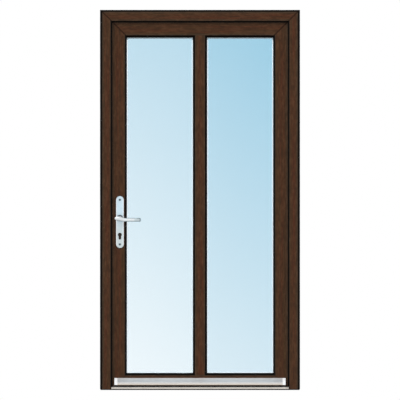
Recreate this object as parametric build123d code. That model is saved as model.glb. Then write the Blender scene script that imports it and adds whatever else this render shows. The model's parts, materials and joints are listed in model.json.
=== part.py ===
from build123d import *
import math
import os

# A single-leaf front door in its frame. Sizes are in millimetres. X runs across the doorway, with the lock
# at -X and the hinges at +X. Y runs through the wall, with the outside at -Y. Z is up, and the origin is at
# the middle of the underside. The leaf opens inwards.

# Overall size and what goes round the frame
OVERALL_WIDTH = 1100.0
OVERALL_HEIGHT = 2100.0
SEAL_THICKNESS = 10.0
SEAL_DEPTH = 30.0
BASE_STRIP_HEIGHT = 5.0

# Frame profile: a lip outside, and a rebate behind it for the leaf
FRAME_DEPTH = 70.0
FRAME_FACE = 50.0
FRAME_LIP_THICKNESS = 22.0
FRAME_REBATE = 20.0
PROFILE_WALL = 3.0
CORNER_GROOVE = 1.2

# Leaf profile: a flat outer face, a leg inside that overlaps the frame, and a glazing rebate
LEAF_DEPTH = 70.0
LEAF_FACE = 88.0
LEAF_LEG_WIDTH = 20.0
LEAF_LEG_THICKNESS = 22.0
HARDWARE_GAP = 12.0
LIP_TO_LEAF = 3.5
LEAF_LIP_THICKNESS = 22.0
GLAZING_REBATE = 15.0
BOTTOM_RAIL_FACE = 61.0
LEAF_FLOOR_GAP = 5.0
MULLION_FACE = 59.0
PROFILE_EDGE_RADIUS = 1.5

# Glass and what holds it
PANE_THICKNESS = 4.0
GLASS_CAVITY = 16.0
GLASS_CLEARANCE = 5.0
OUTER_GASKET_THICKNESS = 4.0
OUTER_GASKET_SHOWS = 9.0
OUTER_GASKET_TOE = 2.0
OUTER_GASKET_SHOULDER = 7.0
OUTER_GASKET_RISE = 9.0
INNER_GASKET_SHOWS = 6.0
INNER_GASKET_THICKNESS = 3.5
INNER_GASKET_LIP = 1.0
BEAD_SIGHT_LINE = 5.0
BEAD_TOE = 6.0
BEAD_HOLLOW = 1.0
SPACER_SHOWS = 7.0
SPACER_WIDTH = 10.0

# Gaskets between leaf and frame
GASKET_RUNNING_GAP = 0.3
FRAME_GASKET_SHOWS = 9.0
FRAME_GASKET_FOOT = 7.0
FRAME_GASKET_LIP = 1.0
LEAF_GASKET_WIDTH = 14.0
LEAF_GASKET_INSET = 2.0

# Threshold, brush seal and weather bar
THRESHOLD_HEIGHT = 12.0
THRESHOLD_BASE_HEIGHT = 5.0
THRESHOLD_NOSE = 2.5
THRESHOLD_GROOVES = 4
THRESHOLD_GROOVE_PITCH = 8.0
THRESHOLD_GROOVE_DEPTH = 1.0
BRUSH_WIDTH = 10.0
BRUSH_END_GAP = 3.0
BRUSH_RUNNING_GAP = 0.5
WEATHER_BAR_END_GAP = 17.0
WEATHER_BAR_ABOVE_FOOT = 5.6
WEATHER_BAR_HEIGHT = 38.7
WEATHER_BAR_REACH = 28.0
WEATHER_BAR_NOSE = 13.0
WEATHER_BAR_WALL = 2.5
WEATHER_BAR_CAP = 16.5

# Lock, in a groove in the leaf's edge
LOCK_GROOVE_WIDTH = 16.0
LOCK_GROOVE_DEPTH = 3.0
LOCK_FROM_LEG = 13.0
FOREND_FROM_BOTTOM = 120.0
FOREND_FROM_TOP = 140.0
CASE_BEHIND_SPINDLE = 14.0
CASE_BELOW_CYLINDER = 43.0
CASE_ABOVE_SPINDLE = 55.0
CASE_CLEARANCE = 0.5
LATCH_HEIGHT = 24.0
DEAD_BOLT_HEIGHT = 30.0
DEAD_BOLT_DROP = 65.0
BOLT_THICKNESS = 10.0
BOLT_LENGTH = 25.0
BOLT_CLEARANCE = 0.4
HOOK_FROM_BOTTOM = 380.0
HOOK_FROM_TOP = 400.0
HOOK_HEIGHT = 40.0
HOOK_LENGTH = 20.0
KEEP_THICKNESS = 3.0
KEEP_WIDTH = 18.0
KEEP_MARGIN = 25.0
KEEP_MOUTH_CLEARANCE = 3.0

# Handle and cylinder
BACKSET = 55.0
SPINDLE_HEIGHT = 950.0
CYLINDER_DROP = 92.0
PLATE_WIDTH = 44.0
PLATE_LENGTH = 288.0
PLATE_THICKNESS = 9.0
PLATE_TOP_ABOVE_SPINDLE = 122.0
PLATE_EDGE_CHAMFER = 2.0
PLATE_SCREW_INSET = 21.0
PLATE_SCREW_HEAD = 9.0
PLATE_SCREW_RECESS = 2.5
ROSE_DIAMETER = 38.0
ROSE_HEIGHT = 4.0
ROSE_CHAMFER = 1.2
NECK_DIAMETER = 18.0
NECK_CLEARANCE = 0.5
NECK_TO_LEAF = 1.0
SPINDLE_SIZE = 8.0
SPINDLE_CLEARANCE = 0.1
SPINDLE_SOCKET = 25.0
SPINDLE_HOLE = 16.0
FOLLOWER_DIAMETER = 20.0
FOLLOWER_LENGTH = 15.0
FOLLOWER_CLEARANCE = 0.3
LEVER_REACH = 52.0
GRIP_DEPTH = 12.0
GRIP_HEIGHT = 20.5
GRIP_CORNER = 3.5
GRIP_DROP = 8.0
LEVER_RISE = -1.5
NOSE_BEHIND_SPINDLE = 29.0
WAVE_START = -12.0
WAVE_LENGTH = 44.0
BEND_START = 92.0
BEND_RADIUS = 20.0
BEND_ANGLE = 80.0
CYLINDER_DIAMETER = 17.0
CYLINDER_WEB = 10.0
CYLINDER_HEIGHT = 33.0
CYLINDER_RECESS = 2.0
CYLINDER_PLATE_GAP = 1.5
CYLINDER_BODY_GAP = 0.5
KEYWAY_WIDTH = 1.8
KEYWAY_HEIGHT = 8.5
KEYWAY_DEPTH = 6.0

# Hinges on the inner face
HINGE_FROM_BOTTOM = 230.0
HINGE_FROM_TOP = 220.0
HINGE_HEIGHT = 100.0
HINGE_FROM_FRAME_EDGE = 10.0
HINGE_AXIS_PROUD = 5.5
BARREL_DIAMETER = 20.0
PIN_DIAMETER = 8.0
PIN_CLEARANCE = 0.05
KNUCKLE_LENGTH = 36.0
KNUCKLE_GAP = 0.5
HINGE_PLATE = 5.0
HINGE_WEB = 9.0
HINGE_LEAF_PLATE_LENGTH = 62.0
HINGE_LEAF_PLATE_INSET = 3.0
HINGE_BLOCK_WIDTH = 17.0

# Holes for the frame's fixings
FIXING_DIAMETER = 10.0
FIXINGS_PER_JAMB = 4
FIXING_FROM_BOTTOM = 150.0
FIXING_FROM_TOP = 140.0

# Places that follow from the sizes above, through the wall
FRAME_FRONT = -FRAME_DEPTH / 2
FRAME_BACK = FRAME_DEPTH / 2
LIP_BACK = FRAME_FRONT + FRAME_LIP_THICKNESS
LEAF_FRONT = LIP_BACK + LIP_TO_LEAF
LEAF_BACK = LEAF_FRONT + LEAF_DEPTH
LEAF_LEG_FRONT = LEAF_BACK - LEAF_LEG_THICKNESS
GLAZING_LIP_BACK = LEAF_FRONT + LEAF_LIP_THICKNESS
GLASS_FRONT = GLAZING_LIP_BACK + OUTER_GASKET_THICKNESS
CAVITY_FRONT = GLASS_FRONT + PANE_THICKNESS
CAVITY_BACK = CAVITY_FRONT + GLASS_CAVITY
GLASS_BACK = CAVITY_BACK + PANE_THICKNESS
BEAD_FRONT = GLASS_BACK + INNER_GASKET_THICKNESS
LOCK_LINE = LEAF_LEG_FRONT - LOCK_FROM_LEG

# Places across the doorway and up it
FRAME_EDGE = OVERALL_WIDTH / 2 - SEAL_THICKNESS
FRAME_TOP = OVERALL_HEIGHT - SEAL_THICKNESS
LIP_EDGE = FRAME_EDGE - FRAME_FACE
LIP_TOP = FRAME_TOP - FRAME_FACE
REBATE_EDGE = LIP_EDGE + FRAME_REBATE
LEAF_EDGE = REBATE_EDGE - HARDWARE_GAP
GLAZING_EDGE = LEAF_EDGE - LEAF_FACE
GLAZING_TOP = LIP_TOP + FRAME_REBATE - HARDWARE_GAP - LEAF_FACE
THRESHOLD_TOP = BASE_STRIP_HEIGHT + THRESHOLD_HEIGHT
LEAF_FOOT = THRESHOLD_TOP + LEAF_FLOOR_GAP
GLAZING_FOOT = LEAF_FOOT + BOTTOM_RAIL_FACE
MULLION_EDGE = MULLION_FACE / 2
SPINDLE_X = -(LEAF_EDGE - BACKSET)
CYLINDER_LEVEL = SPINDLE_HEIGHT - CYLINDER_DROP
GROOVE_FLOOR = LEAF_EDGE - LOCK_GROOVE_DEPTH
CASE_BOTTOM = CYLINDER_LEVEL - CASE_BELOW_CYLINDER
CASE_TOP = SPINDLE_HEIGHT + CASE_ABOVE_SPINDLE
CASE_BACK = SPINDLE_X + CASE_BEHIND_SPINDLE
DEAD_BOLT_LEVEL = SPINDLE_HEIGHT - DEAD_BOLT_DROP
HOOK_LEVELS = (HOOK_FROM_BOTTOM, FRAME_TOP - HOOK_FROM_TOP)
HINGE_X = FRAME_EDGE - HINGE_FROM_FRAME_EDGE
HINGE_Y = LEAF_BACK + HINGE_AXIS_PROUD
HINGE_TOP_LEVEL = FRAME_TOP - HINGE_FROM_TOP
HINGE_LEVELS = {
    "bottom": HINGE_FROM_BOTTOM,
    "middle": (HINGE_FROM_BOTTOM + HINGE_TOP_LEVEL) / 2,
    "top": HINGE_TOP_LEVEL,
}

# How far a mitre plane runs past an opening's corner, inwards and outwards, and a cutter past what it cuts
MITRE_IN = 40.0
MITRE_OUT = 200.0
THROUGH = 400.0
PAST = 1.0

# The two glazed openings, as left, right, bottom and top of their visible edges
OPENINGS = (
    (-GLAZING_EDGE, -MULLION_EDGE, GLAZING_FOOT, GLAZING_TOP),
    (MULLION_EDGE, GLAZING_EDGE, GLAZING_FOOT, GLAZING_TOP),
)


def outline(*points):
    """A flat face from its corner points."""
    return make_face(Polyline(*points, close=True))


def chamber(left, right, bottom, top):
    """A rectangular hole in a section, from its four sides."""
    return Pos((left + right) / 2, (bottom + top) / 2) * Rectangle(right - left, top - bottom)


def block(x0, x1, y0, y1, z0, z1):
    """A box from its six sides."""
    return Pos((x0 + x1) / 2, (y0 + y1) / 2, (z0 + z1) / 2) * Box(x1 - x0, y1 - y0, z1 - z0)


def through(shape, x, z, y0, y1):
    """A shape in the door's elevation, pushed through from y0 to y1."""
    return extrude(Plane((x, y1, z), x_dir=(1, 0, 0), z_dir=(0, -1, 0)) * shape, amount=y1 - y0)


def elevation(*points):
    """A prism through the whole depth, from corner points in the door's elevation."""
    return extrude(Plane.XZ * outline(*points), amount=THROUGH, both=True)


def run(section, side, edge, start, end):
    """One length of a section along a side of an opening. The section is drawn outwards from that edge."""
    planes = {
        "left": Plane((edge, 0, end), x_dir=(-1, 0, 0), z_dir=(0, 0, -1)),
        "right": Plane((edge, 0, start), x_dir=(1, 0, 0), z_dir=(0, 0, 1)),
        "top": Plane((end, 0, edge), x_dir=(0, 0, 1), z_dir=(-1, 0, 0)),
        "bottom": Plane((start, 0, edge), x_dir=(0, 0, -1), z_dir=(1, 0, 0)),
    }
    return extrude(planes[side] * section, amount=end - start)


def corner_groove(x, z, slope, face):
    """The fine groove that is left along a welded mitre on one face of the profiles."""
    bar = Rot(0, 45 * slope, 0) * Rot(45, 0, 0) * Box(3 * MITRE_OUT, CORNER_GROOVE, CORNER_GROOVE)
    return Pos(x, face, z) * bar


def mitred_ring(section, left, right, bottom, top, foot=None, grooved=()):
    """Mitred lengths of one section round an opening: left, right, top and bottom. What lies below a foot
    is cut off, and an opening that starts at its foot has no bottom length."""
    near, far = MITRE_IN, MITRE_OUT
    open_foot = foot is not None and bottom <= foot
    low_in = foot if open_foot else bottom + near
    low_out = foot if open_foot else bottom - far
    inner = (left + near, right - near, low_in, top - near)
    outer = (left - far, right + far, low_out, top + far)

    def side_prism(which):
        """The part of the elevation that a left or right length keeps, up to its mitres."""
        near, far = inner[which], outer[which]
        return elevation((near, inner[2]), (near, inner[3]), (far, outer[3]), (far, outer[2]))

    def end_prism(which):
        """The part of the elevation that a top or bottom length keeps, between its mitres."""
        near, far = inner[which], outer[which]
        return elevation((inner[0], near), (inner[1], near), (outer[1], far), (outer[0], far))

    lengths = [
        run(section, "left", left, outer[2], outer[3]) & side_prism(0),
        run(section, "right", right, outer[2], outer[3]) & side_prism(1),
        run(section, "top", top, outer[0], outer[1]) & end_prism(3),
    ]
    if not open_foot:
        lengths.append(run(section, "bottom", bottom, outer[0], outer[1]) & end_prism(2))
    if foot is not None and not open_foot:
        above = block(outer[0], outer[1], -THROUGH, THROUGH, foot, outer[3])
        lengths = [piece & above for piece in lengths]
    corners = [(left, top, 1), (right, top, -1)]
    if not open_foot:
        corners += [(left, bottom, -1), (right, bottom, 1)]
    for face in grooved:
        for x, z, slope in corners:
            groove = corner_groove(x, z, slope, face)
            lengths = [piece - groove for piece in lengths]
    return lengths


def joined(pieces):
    """Touching pieces made into one."""
    whole = pieces[0]
    for piece in pieces[1:]:
        whole = whole + piece
    return whole


def frame_section():
    """The frame's profile, outwards from the lip's edge: a lip, a rebate base and two chambers."""
    shape = outline(
        (0, FRAME_FRONT), (FRAME_FACE, FRAME_FRONT), (FRAME_FACE, FRAME_BACK),
        (FRAME_REBATE, FRAME_BACK), (FRAME_REBATE, LIP_BACK), (0, LIP_BACK),
    )
    lip_corner = shape.vertices().sort_by(Axis.Y)[:2].sort_by(Axis.X)[0]
    shape = fillet(lip_corner, PROFILE_EDGE_RADIUS)
    wall = PROFILE_WALL
    shape -= chamber(wall, FRAME_FACE - wall, FRAME_FRONT + wall, LIP_BACK - wall)
    shape -= chamber(FRAME_REBATE + wall, FRAME_FACE - wall, LIP_BACK, FRAME_BACK - wall)
    return shape


def leaf_section(face_width, lock_groove=False, leg=True):
    """The leaf's profile, outwards from the glazing edge: lip, face, edge, inner leg and three chambers."""
    groove_low = LOCK_LINE - LOCK_GROOVE_WIDTH / 2
    groove_high = LOCK_LINE + LOCK_GROOVE_WIDTH / 2
    leg_edge = face_width + LEAF_LEG_WIDTH if leg else face_width
    shape = outline(
        (0, LEAF_FRONT), (face_width, LEAF_FRONT), (face_width, LEAF_LEG_FRONT), (leg_edge, LEAF_LEG_FRONT),
        (leg_edge, LEAF_BACK), (GLAZING_REBATE, LEAF_BACK), (GLAZING_REBATE, GLAZING_LIP_BACK),
        (0, GLAZING_LIP_BACK),
    ) if leg else outline(
        (0, LEAF_FRONT), (face_width, LEAF_FRONT), (face_width, LEAF_BACK),
        (GLAZING_REBATE, LEAF_BACK), (GLAZING_REBATE, GLAZING_LIP_BACK), (0, GLAZING_LIP_BACK),
    )
    shape = fillet(shape.vertices().sort_by(Axis.Y)[:2], PROFILE_EDGE_RADIUS)
    wall = PROFILE_WALL
    inner_edge = GLAZING_REBATE + wall
    deep_edge = face_width - LOCK_GROOVE_DEPTH - wall
    shape -= chamber(wall, face_width - wall, LEAF_FRONT + wall, GLAZING_LIP_BACK - wall)
    shape -= chamber(inner_edge, deep_edge, GLAZING_LIP_BACK, LEAF_LEG_FRONT)
    shape -= chamber(inner_edge, leg_edge - wall, LEAF_LEG_FRONT + wall, LEAF_BACK - wall)
    if lock_groove:
        shape -= chamber(face_width - LOCK_GROOVE_DEPTH, face_width + PAST, groove_low, groove_high)
    return shape


def euro_profile(gap):
    """The outline of a key cylinder, grown by a gap, with its plug at the middle and its web downwards."""
    radius = CYLINDER_DIAMETER / 2 + gap
    web = CYLINDER_WEB / 2 + gap
    drop = CYLINDER_HEIGHT - CYLINDER_DIAMETER / 2 + gap
    foot = Pos(0, -(drop - web)) * Circle(web)
    return Circle(radius) + chamber(-web, web, -(drop - web), 0) + foot


def make_frame():
    """The two jambs and the head, with fixing holes and the pockets behind the keeps."""
    lock, hinge, head = mitred_ring(
        frame_section(), -LIP_EDGE, LIP_EDGE, BASE_STRIP_HEIGHT, LIP_TOP,
        foot=BASE_STRIP_HEIGHT, grooved=(FRAME_FRONT, FRAME_BACK),
    )
    hole_y = (LIP_BACK + FRAME_BACK) / 2
    spacing = (FRAME_TOP - FIXING_FROM_TOP - FIXING_FROM_BOTTOM) / (FIXINGS_PER_JAMB - 1)
    drill = Rot(0, 90, 0) * Cylinder(FIXING_DIAMETER / 2, 2 * FRAME_FACE)
    for index in range(FIXINGS_PER_JAMB):
        level = FIXING_FROM_BOTTOM + index * spacing
        lock -= Pos(-FRAME_EDGE, hole_y, level) * drill
        hinge -= Pos(FRAME_EDGE, hole_y, level) * drill
    for bottom, top in bolt_mouths():
        half = BOLT_THICKNESS / 2 + KEEP_MOUTH_CLEARANCE
        lock -= block(
            -REBATE_EDGE - PROFILE_WALL, -REBATE_EDGE, LOCK_LINE - half, LOCK_LINE + half,
            bottom - KEEP_MOUTH_CLEARANCE, top + KEEP_MOUTH_CLEARANCE,
        )
    return {"frame_jamb_lock": lock, "frame_jamb_hinge": hinge, "frame_head": head}


def bolt_mouths():
    """The height range of each bolt in the lock's edge, from the bottom hook to the top one."""
    lower, upper = HOOK_LEVELS
    return (
        (lower - HOOK_HEIGHT / 2, lower + HOOK_HEIGHT / 2),
        (DEAD_BOLT_LEVEL - DEAD_BOLT_HEIGHT / 2, DEAD_BOLT_LEVEL + DEAD_BOLT_HEIGHT / 2),
        (SPINDLE_HEIGHT - LATCH_HEIGHT / 2, SPINDLE_HEIGHT + LATCH_HEIGHT / 2),
        (upper - HOOK_HEIGHT / 2, upper + HOOK_HEIGHT / 2),
    )


def make_surround():
    """The black strip under the door and the black seal between the frame and the wall."""
    seal_back = FRAME_FRONT + SEAL_DEPTH
    half = OVERALL_WIDTH / 2
    side = block(-half, -FRAME_EDGE, FRAME_FRONT, seal_back, BASE_STRIP_HEIGHT, FRAME_TOP)
    return {
        "base_strip": block(-half, half, FRAME_FRONT, FRAME_BACK, 0, BASE_STRIP_HEIGHT),
        "seal_lock_side": side,
        "seal_hinge_side": mirror(side, about=Plane.YZ),
        "seal_head": block(-half, half, FRAME_FRONT, seal_back, FRAME_TOP, OVERALL_HEIGHT),
    }


def make_threshold():
    """A low threshold between the jambs: a grooved aluminium cap with a front nose, on a plastic base."""
    base_top = BASE_STRIP_HEIGHT + THRESHOLD_BASE_HEIGHT
    nose_back = FRAME_FRONT + THRESHOLD_NOSE
    slope_foot = THRESHOLD_TOP - THRESHOLD_NOSE
    slope_back = FRAME_FRONT + 2 * THRESHOLD_NOSE
    cap_face = outline(
        (FRAME_FRONT, BASE_STRIP_HEIGHT), (FRAME_FRONT, slope_foot), (slope_back, THRESHOLD_TOP),
        (FRAME_BACK, THRESHOLD_TOP), (FRAME_BACK, base_top), (nose_back, base_top),
        (nose_back, BASE_STRIP_HEIGHT),
    )
    quarter = THRESHOLD_GROOVE_PITCH / 4
    groove_low = THRESHOLD_TOP - THRESHOLD_GROOVE_DEPTH
    for index in range(THRESHOLD_GROOVES):
        middle = slope_back + (index + 1) * THRESHOLD_GROOVE_PITCH
        cap_face -= chamber(middle - quarter, middle + quarter, groove_low, THRESHOLD_TOP + PAST)
    across = Plane((-REBATE_EDGE, 0, 0), x_dir=(0, 1, 0), z_dir=(1, 0, 0))
    cap = extrude(across * cap_face, amount=2 * REBATE_EDGE)
    base = block(-REBATE_EDGE, REBATE_EDGE, nose_back, FRAME_BACK, BASE_STRIP_HEIGHT, base_top)
    for way in (-1, 1):
        near, far = sorted((way * LIP_EDGE, way * (REBATE_EDGE + PAST)))
        notch = block(near, far, FRAME_FRONT - PAST, LIP_BACK, 0, THRESHOLD_TOP + PAST)
        cap -= notch
        base -= notch
    return {"threshold": cap, "threshold_base": base}


def make_frame_gasket():
    """The gasket on the back of the frame's lip: a foot behind the lip and a nose that shows past it."""
    face = LEAF_FRONT - GASKET_RUNNING_GAP
    nose = (LIP_BACK + face) / 2
    section = outline(
        (FRAME_GASKET_FOOT, LIP_BACK), (FRAME_GASKET_FOOT, face), (-FRAME_GASKET_SHOWS, face),
        (-FRAME_GASKET_SHOWS, nose), (0, LIP_BACK - FRAME_GASKET_LIP), (0, LIP_BACK),
    )
    sides = mitred_ring(section, -LIP_EDGE, LIP_EDGE, THRESHOLD_TOP, LIP_TOP, foot=THRESHOLD_TOP)
    return {"frame_gasket": joined(sides)}


def make_keeps():
    """Strike plates in the lock side's rebate, each with a mouth for every bolt that it faces."""
    lowest, dead, latch, highest = bolt_mouths()
    keeps = {}
    for name, mouths in (("bottom", (lowest,)), ("centre", (dead, latch)), ("top", (highest,))):
        low = mouths[0][0] - KEEP_MARGIN
        high = mouths[-1][1] + KEEP_MARGIN
        half = KEEP_WIDTH / 2
        face = -REBATE_EDGE + KEEP_THICKNESS
        keep = block(-REBATE_EDGE, face, LOCK_LINE - half, LOCK_LINE + half, low, high)
        slot = BOLT_THICKNESS / 2 + BOLT_CLEARANCE
        for bottom, top in mouths:
            keep -= block(
                -REBATE_EDGE - PAST, face + PAST, LOCK_LINE - slot, LOCK_LINE + slot,
                bottom - KEEP_MOUTH_CLEARANCE, top + KEEP_MOUTH_CLEARANCE,
            )
        keeps["keep_" + name] = keep
    return keeps


def make_leaf():
    """The leaf's stiles, rails and mullion. The lock stile is cut for the lock, spindle and cylinder."""
    box = (-GLAZING_EDGE, GLAZING_EDGE, GLAZING_FOOT, GLAZING_TOP)
    faces = (LEAF_FRONT, LEAF_BACK)
    plain = mitred_ring(leaf_section(LEAF_FACE), *box, foot=LEAF_FOOT, grooved=faces)
    lock = mitred_ring(leaf_section(LEAF_FACE, lock_groove=True), *box, foot=LEAF_FOOT, grooved=faces)[0]
    rail = mitred_ring(leaf_section(BOTTOM_RAIL_FACE, leg=False), *box, foot=LEAF_FOOT, grooved=faces)[3]

    pocket = CASE_CLEARANCE
    case_half = LOCK_GROOVE_WIDTH / 2
    lock -= block(
        -GROOVE_FLOOR - PAST, CASE_BACK + pocket, LOCK_LINE - case_half, LOCK_LINE + case_half,
        CASE_BOTTOM - pocket, CASE_TOP + pocket,
    )
    for level in HOOK_LEVELS:
        lock -= block(
            -GROOVE_FLOOR - PAST, -GROOVE_FLOOR + HOOK_LENGTH, LOCK_LINE - case_half, LOCK_LINE + case_half,
            level - HOOK_HEIGHT / 2 - pocket, level + HOOK_HEIGHT / 2 + pocket,
        )
    depth = (LEAF_FRONT - PAST, LEAF_BACK + PAST)
    lock -= through(Circle(SPINDLE_HOLE / 2), SPINDLE_X, SPINDLE_HEIGHT, *depth)
    lock -= through(euro_profile(CYLINDER_BODY_GAP), SPINDLE_X, CYLINDER_LEVEL, *depth)
    return {
        "leaf_stile_lock": lock,
        "leaf_stile_hinge": plain[1],
        "leaf_rail_top": plain[2],
        "leaf_rail_bottom": rail,
        "leaf_mullion": make_mullion(),
    }


def make_mullion():
    """The centre bar: its face butts the rails' lips, and its web runs on to their rebates."""
    wall = PROFILE_WALL
    web = MULLION_EDGE - GLAZING_REBATE
    level = Plane.XY
    face = chamber(-MULLION_EDGE, MULLION_EDGE, LEAF_FRONT, GLAZING_LIP_BACK)
    face = fillet(face.vertices().sort_by(Axis.Y)[:2], PROFILE_EDGE_RADIUS)
    face -= chamber(-MULLION_EDGE + wall, MULLION_EDGE - wall, LEAF_FRONT + wall, GLAZING_LIP_BACK - wall)
    stem = chamber(-web, web, GLAZING_LIP_BACK, LEAF_BACK)
    stem -= chamber(-web + wall, web - wall, GLAZING_LIP_BACK + wall, LEAF_BACK - wall)
    front = extrude(level.offset(GLAZING_FOOT) * face, amount=GLAZING_TOP - GLAZING_FOOT)
    foot = GLAZING_FOOT - GLAZING_REBATE
    back = extrude(level.offset(foot) * stem, amount=GLAZING_TOP + GLAZING_REBATE - foot)
    return front + back


def make_glazing():
    """Two insulated glass units with their gaskets and beads, one in each opening."""
    shift = GLAZING_REBATE - GLASS_CLEARANCE
    spacer_in = -OUTER_GASKET_SHOWS - SPACER_SHOWS
    spacer_out = spacer_in + SPACER_WIDTH
    outer_gasket = outline(
        (shift, GLAZING_LIP_BACK), (shift, GLASS_FRONT), (-OUTER_GASKET_SHOWS, GLASS_FRONT),
        (-OUTER_GASKET_SHOWS, GLASS_FRONT - OUTER_GASKET_TOE),
        (-OUTER_GASKET_SHOWS / 2, GLASS_FRONT - OUTER_GASKET_SHOULDER),
        (0, GLASS_FRONT - OUTER_GASKET_RISE), (0, GLAZING_LIP_BACK),
    )
    inner_gasket = outline(
        (shift, GLASS_BACK), (shift, BEAD_FRONT), (-BEAD_SIGHT_LINE, BEAD_FRONT),
        (-INNER_GASKET_SHOWS, BEAD_FRONT - INNER_GASKET_LIP), (-INNER_GASKET_SHOWS, GLASS_BACK),
    )
    spacer = chamber(spacer_in, spacer_out, CAVITY_FRONT, CAVITY_BACK)
    sealant = chamber(spacer_out, shift, CAVITY_FRONT, CAVITY_BACK)
    bead = bead_section()
    made = {name: [] for name in (
        "panes_outer", "panes_inner", "glass_spacers", "edge_sealant", "gaskets_outer", "gaskets_inner",
        "beads_upright", "beads_level",
    )}
    for left, right, bottom, top in OPENINGS:
        box = (left, right, bottom, top)
        edges = (left - shift, right + shift)
        ends = (bottom - shift, top + shift)
        made["panes_outer"].append(block(*edges, GLASS_FRONT, CAVITY_FRONT, *ends))
        made["panes_inner"].append(block(*edges, CAVITY_BACK, GLASS_BACK, *ends))
        made["glass_spacers"].append(joined(mitred_ring(spacer, *box)))
        made["edge_sealant"].append(joined(mitred_ring(sealant, *box)))
        made["gaskets_outer"].append(joined(mitred_ring(outer_gasket, *box)))
        made["gaskets_inner"].append(joined(mitred_ring(inner_gasket, *box)))
        beads = mitred_ring(bead, *box)
        made["beads_upright"] += beads[:2]
        made["beads_level"] += beads[2:]
    return {name: Compound(children=solids_of(pieces)) for name, pieces in made.items()}


def bead_section():
    """A glazing bead: flat against the rebate, with a hollow curve down to its toe at the glass."""
    toe = BEAD_FRONT + BEAD_TOE
    flat = GLAZING_REBATE / 2
    middle = ((flat - BEAD_SIGHT_LINE) / 2 + BEAD_HOLLOW, (LEAF_BACK + toe) / 2 - BEAD_HOLLOW)
    edges = [
        Line((GLAZING_REBATE, LEAF_BACK), (GLAZING_REBATE, BEAD_FRONT)),
        Line((GLAZING_REBATE, BEAD_FRONT), (-BEAD_SIGHT_LINE, BEAD_FRONT)),
        Line((-BEAD_SIGHT_LINE, BEAD_FRONT), (-BEAD_SIGHT_LINE, toe)),
        ThreePointArc((-BEAD_SIGHT_LINE, toe), middle, (flat, LEAF_BACK)),
        Line((flat, LEAF_BACK), (GLAZING_REBATE, LEAF_BACK)),
    ]
    return make_face(Wire(edges))


def solids_of(pieces):
    """Every solid in a list of shapes."""
    return [solid for piece in pieces for solid in piece.solids()]


def make_leaf_gasket():
    """The gasket on the front of the leaf's inner leg, which meets the frame's inner face."""
    outer = LEAF_FACE + LEAF_LEG_WIDTH - LEAF_GASKET_INSET
    section = chamber(outer - LEAF_GASKET_WIDTH, outer, FRAME_BACK + GASKET_RUNNING_GAP, LEAF_LEG_FRONT)
    sides = mitred_ring(section, -GLAZING_EDGE, GLAZING_EDGE, LEAF_FOOT, GLAZING_TOP, foot=LEAF_FOOT)
    return {"leaf_gasket": joined(sides)}


def make_weather_bar():
    """A sloping aluminium bar at the foot of the leaf's outer face, with a solid cap at each end."""
    wall = WEATHER_BAR_WALL
    bottom = LEAF_FOOT + WEATHER_BAR_ABOVE_FOOT
    top = bottom + WEATHER_BAR_HEIGHT
    nose_top = bottom + WEATHER_BAR_NOSE
    front = LEAF_FRONT - WEATHER_BAR_REACH
    skin = [
        (LEAF_FRONT, bottom), (LEAF_FRONT, top), (LEAF_FRONT - wall, top), (front, nose_top), (front, bottom),
    ]
    hollow = outline(
        (LEAF_FRONT - wall, bottom - PAST), (LEAF_FRONT - wall, top - 2 * wall),
        (front + wall, nose_top - wall / 2), (front + wall, bottom - PAST),
    )
    half = LIP_EDGE - WEATHER_BAR_END_GAP
    inner = half - WEATHER_BAR_CAP
    across = Plane((-inner, 0, 0), x_dir=(0, 1, 0), z_dir=(1, 0, 0))
    bar = extrude(across * (outline(*skin) - hollow), amount=2 * inner)
    side = Plane((-half, 0, 0), x_dir=(0, 1, 0), z_dir=(1, 0, 0))
    cap = extrude(side * outline(*skin), amount=WEATHER_BAR_CAP)
    caps = [cap, mirror(cap, about=Plane.YZ)]
    return {"weather_bar": bar, "weather_bar_caps": Compound(children=solids_of(caps))}


def make_brush_seal():
    """The brush under the leaf, which ends just above the threshold."""
    half = LEAF_EDGE - BRUSH_END_GAP
    width = BRUSH_WIDTH / 2
    return {"brush_seal": block(-half, half, -width, width, THRESHOLD_TOP + BRUSH_RUNNING_GAP, LEAF_FOOT)}


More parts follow.
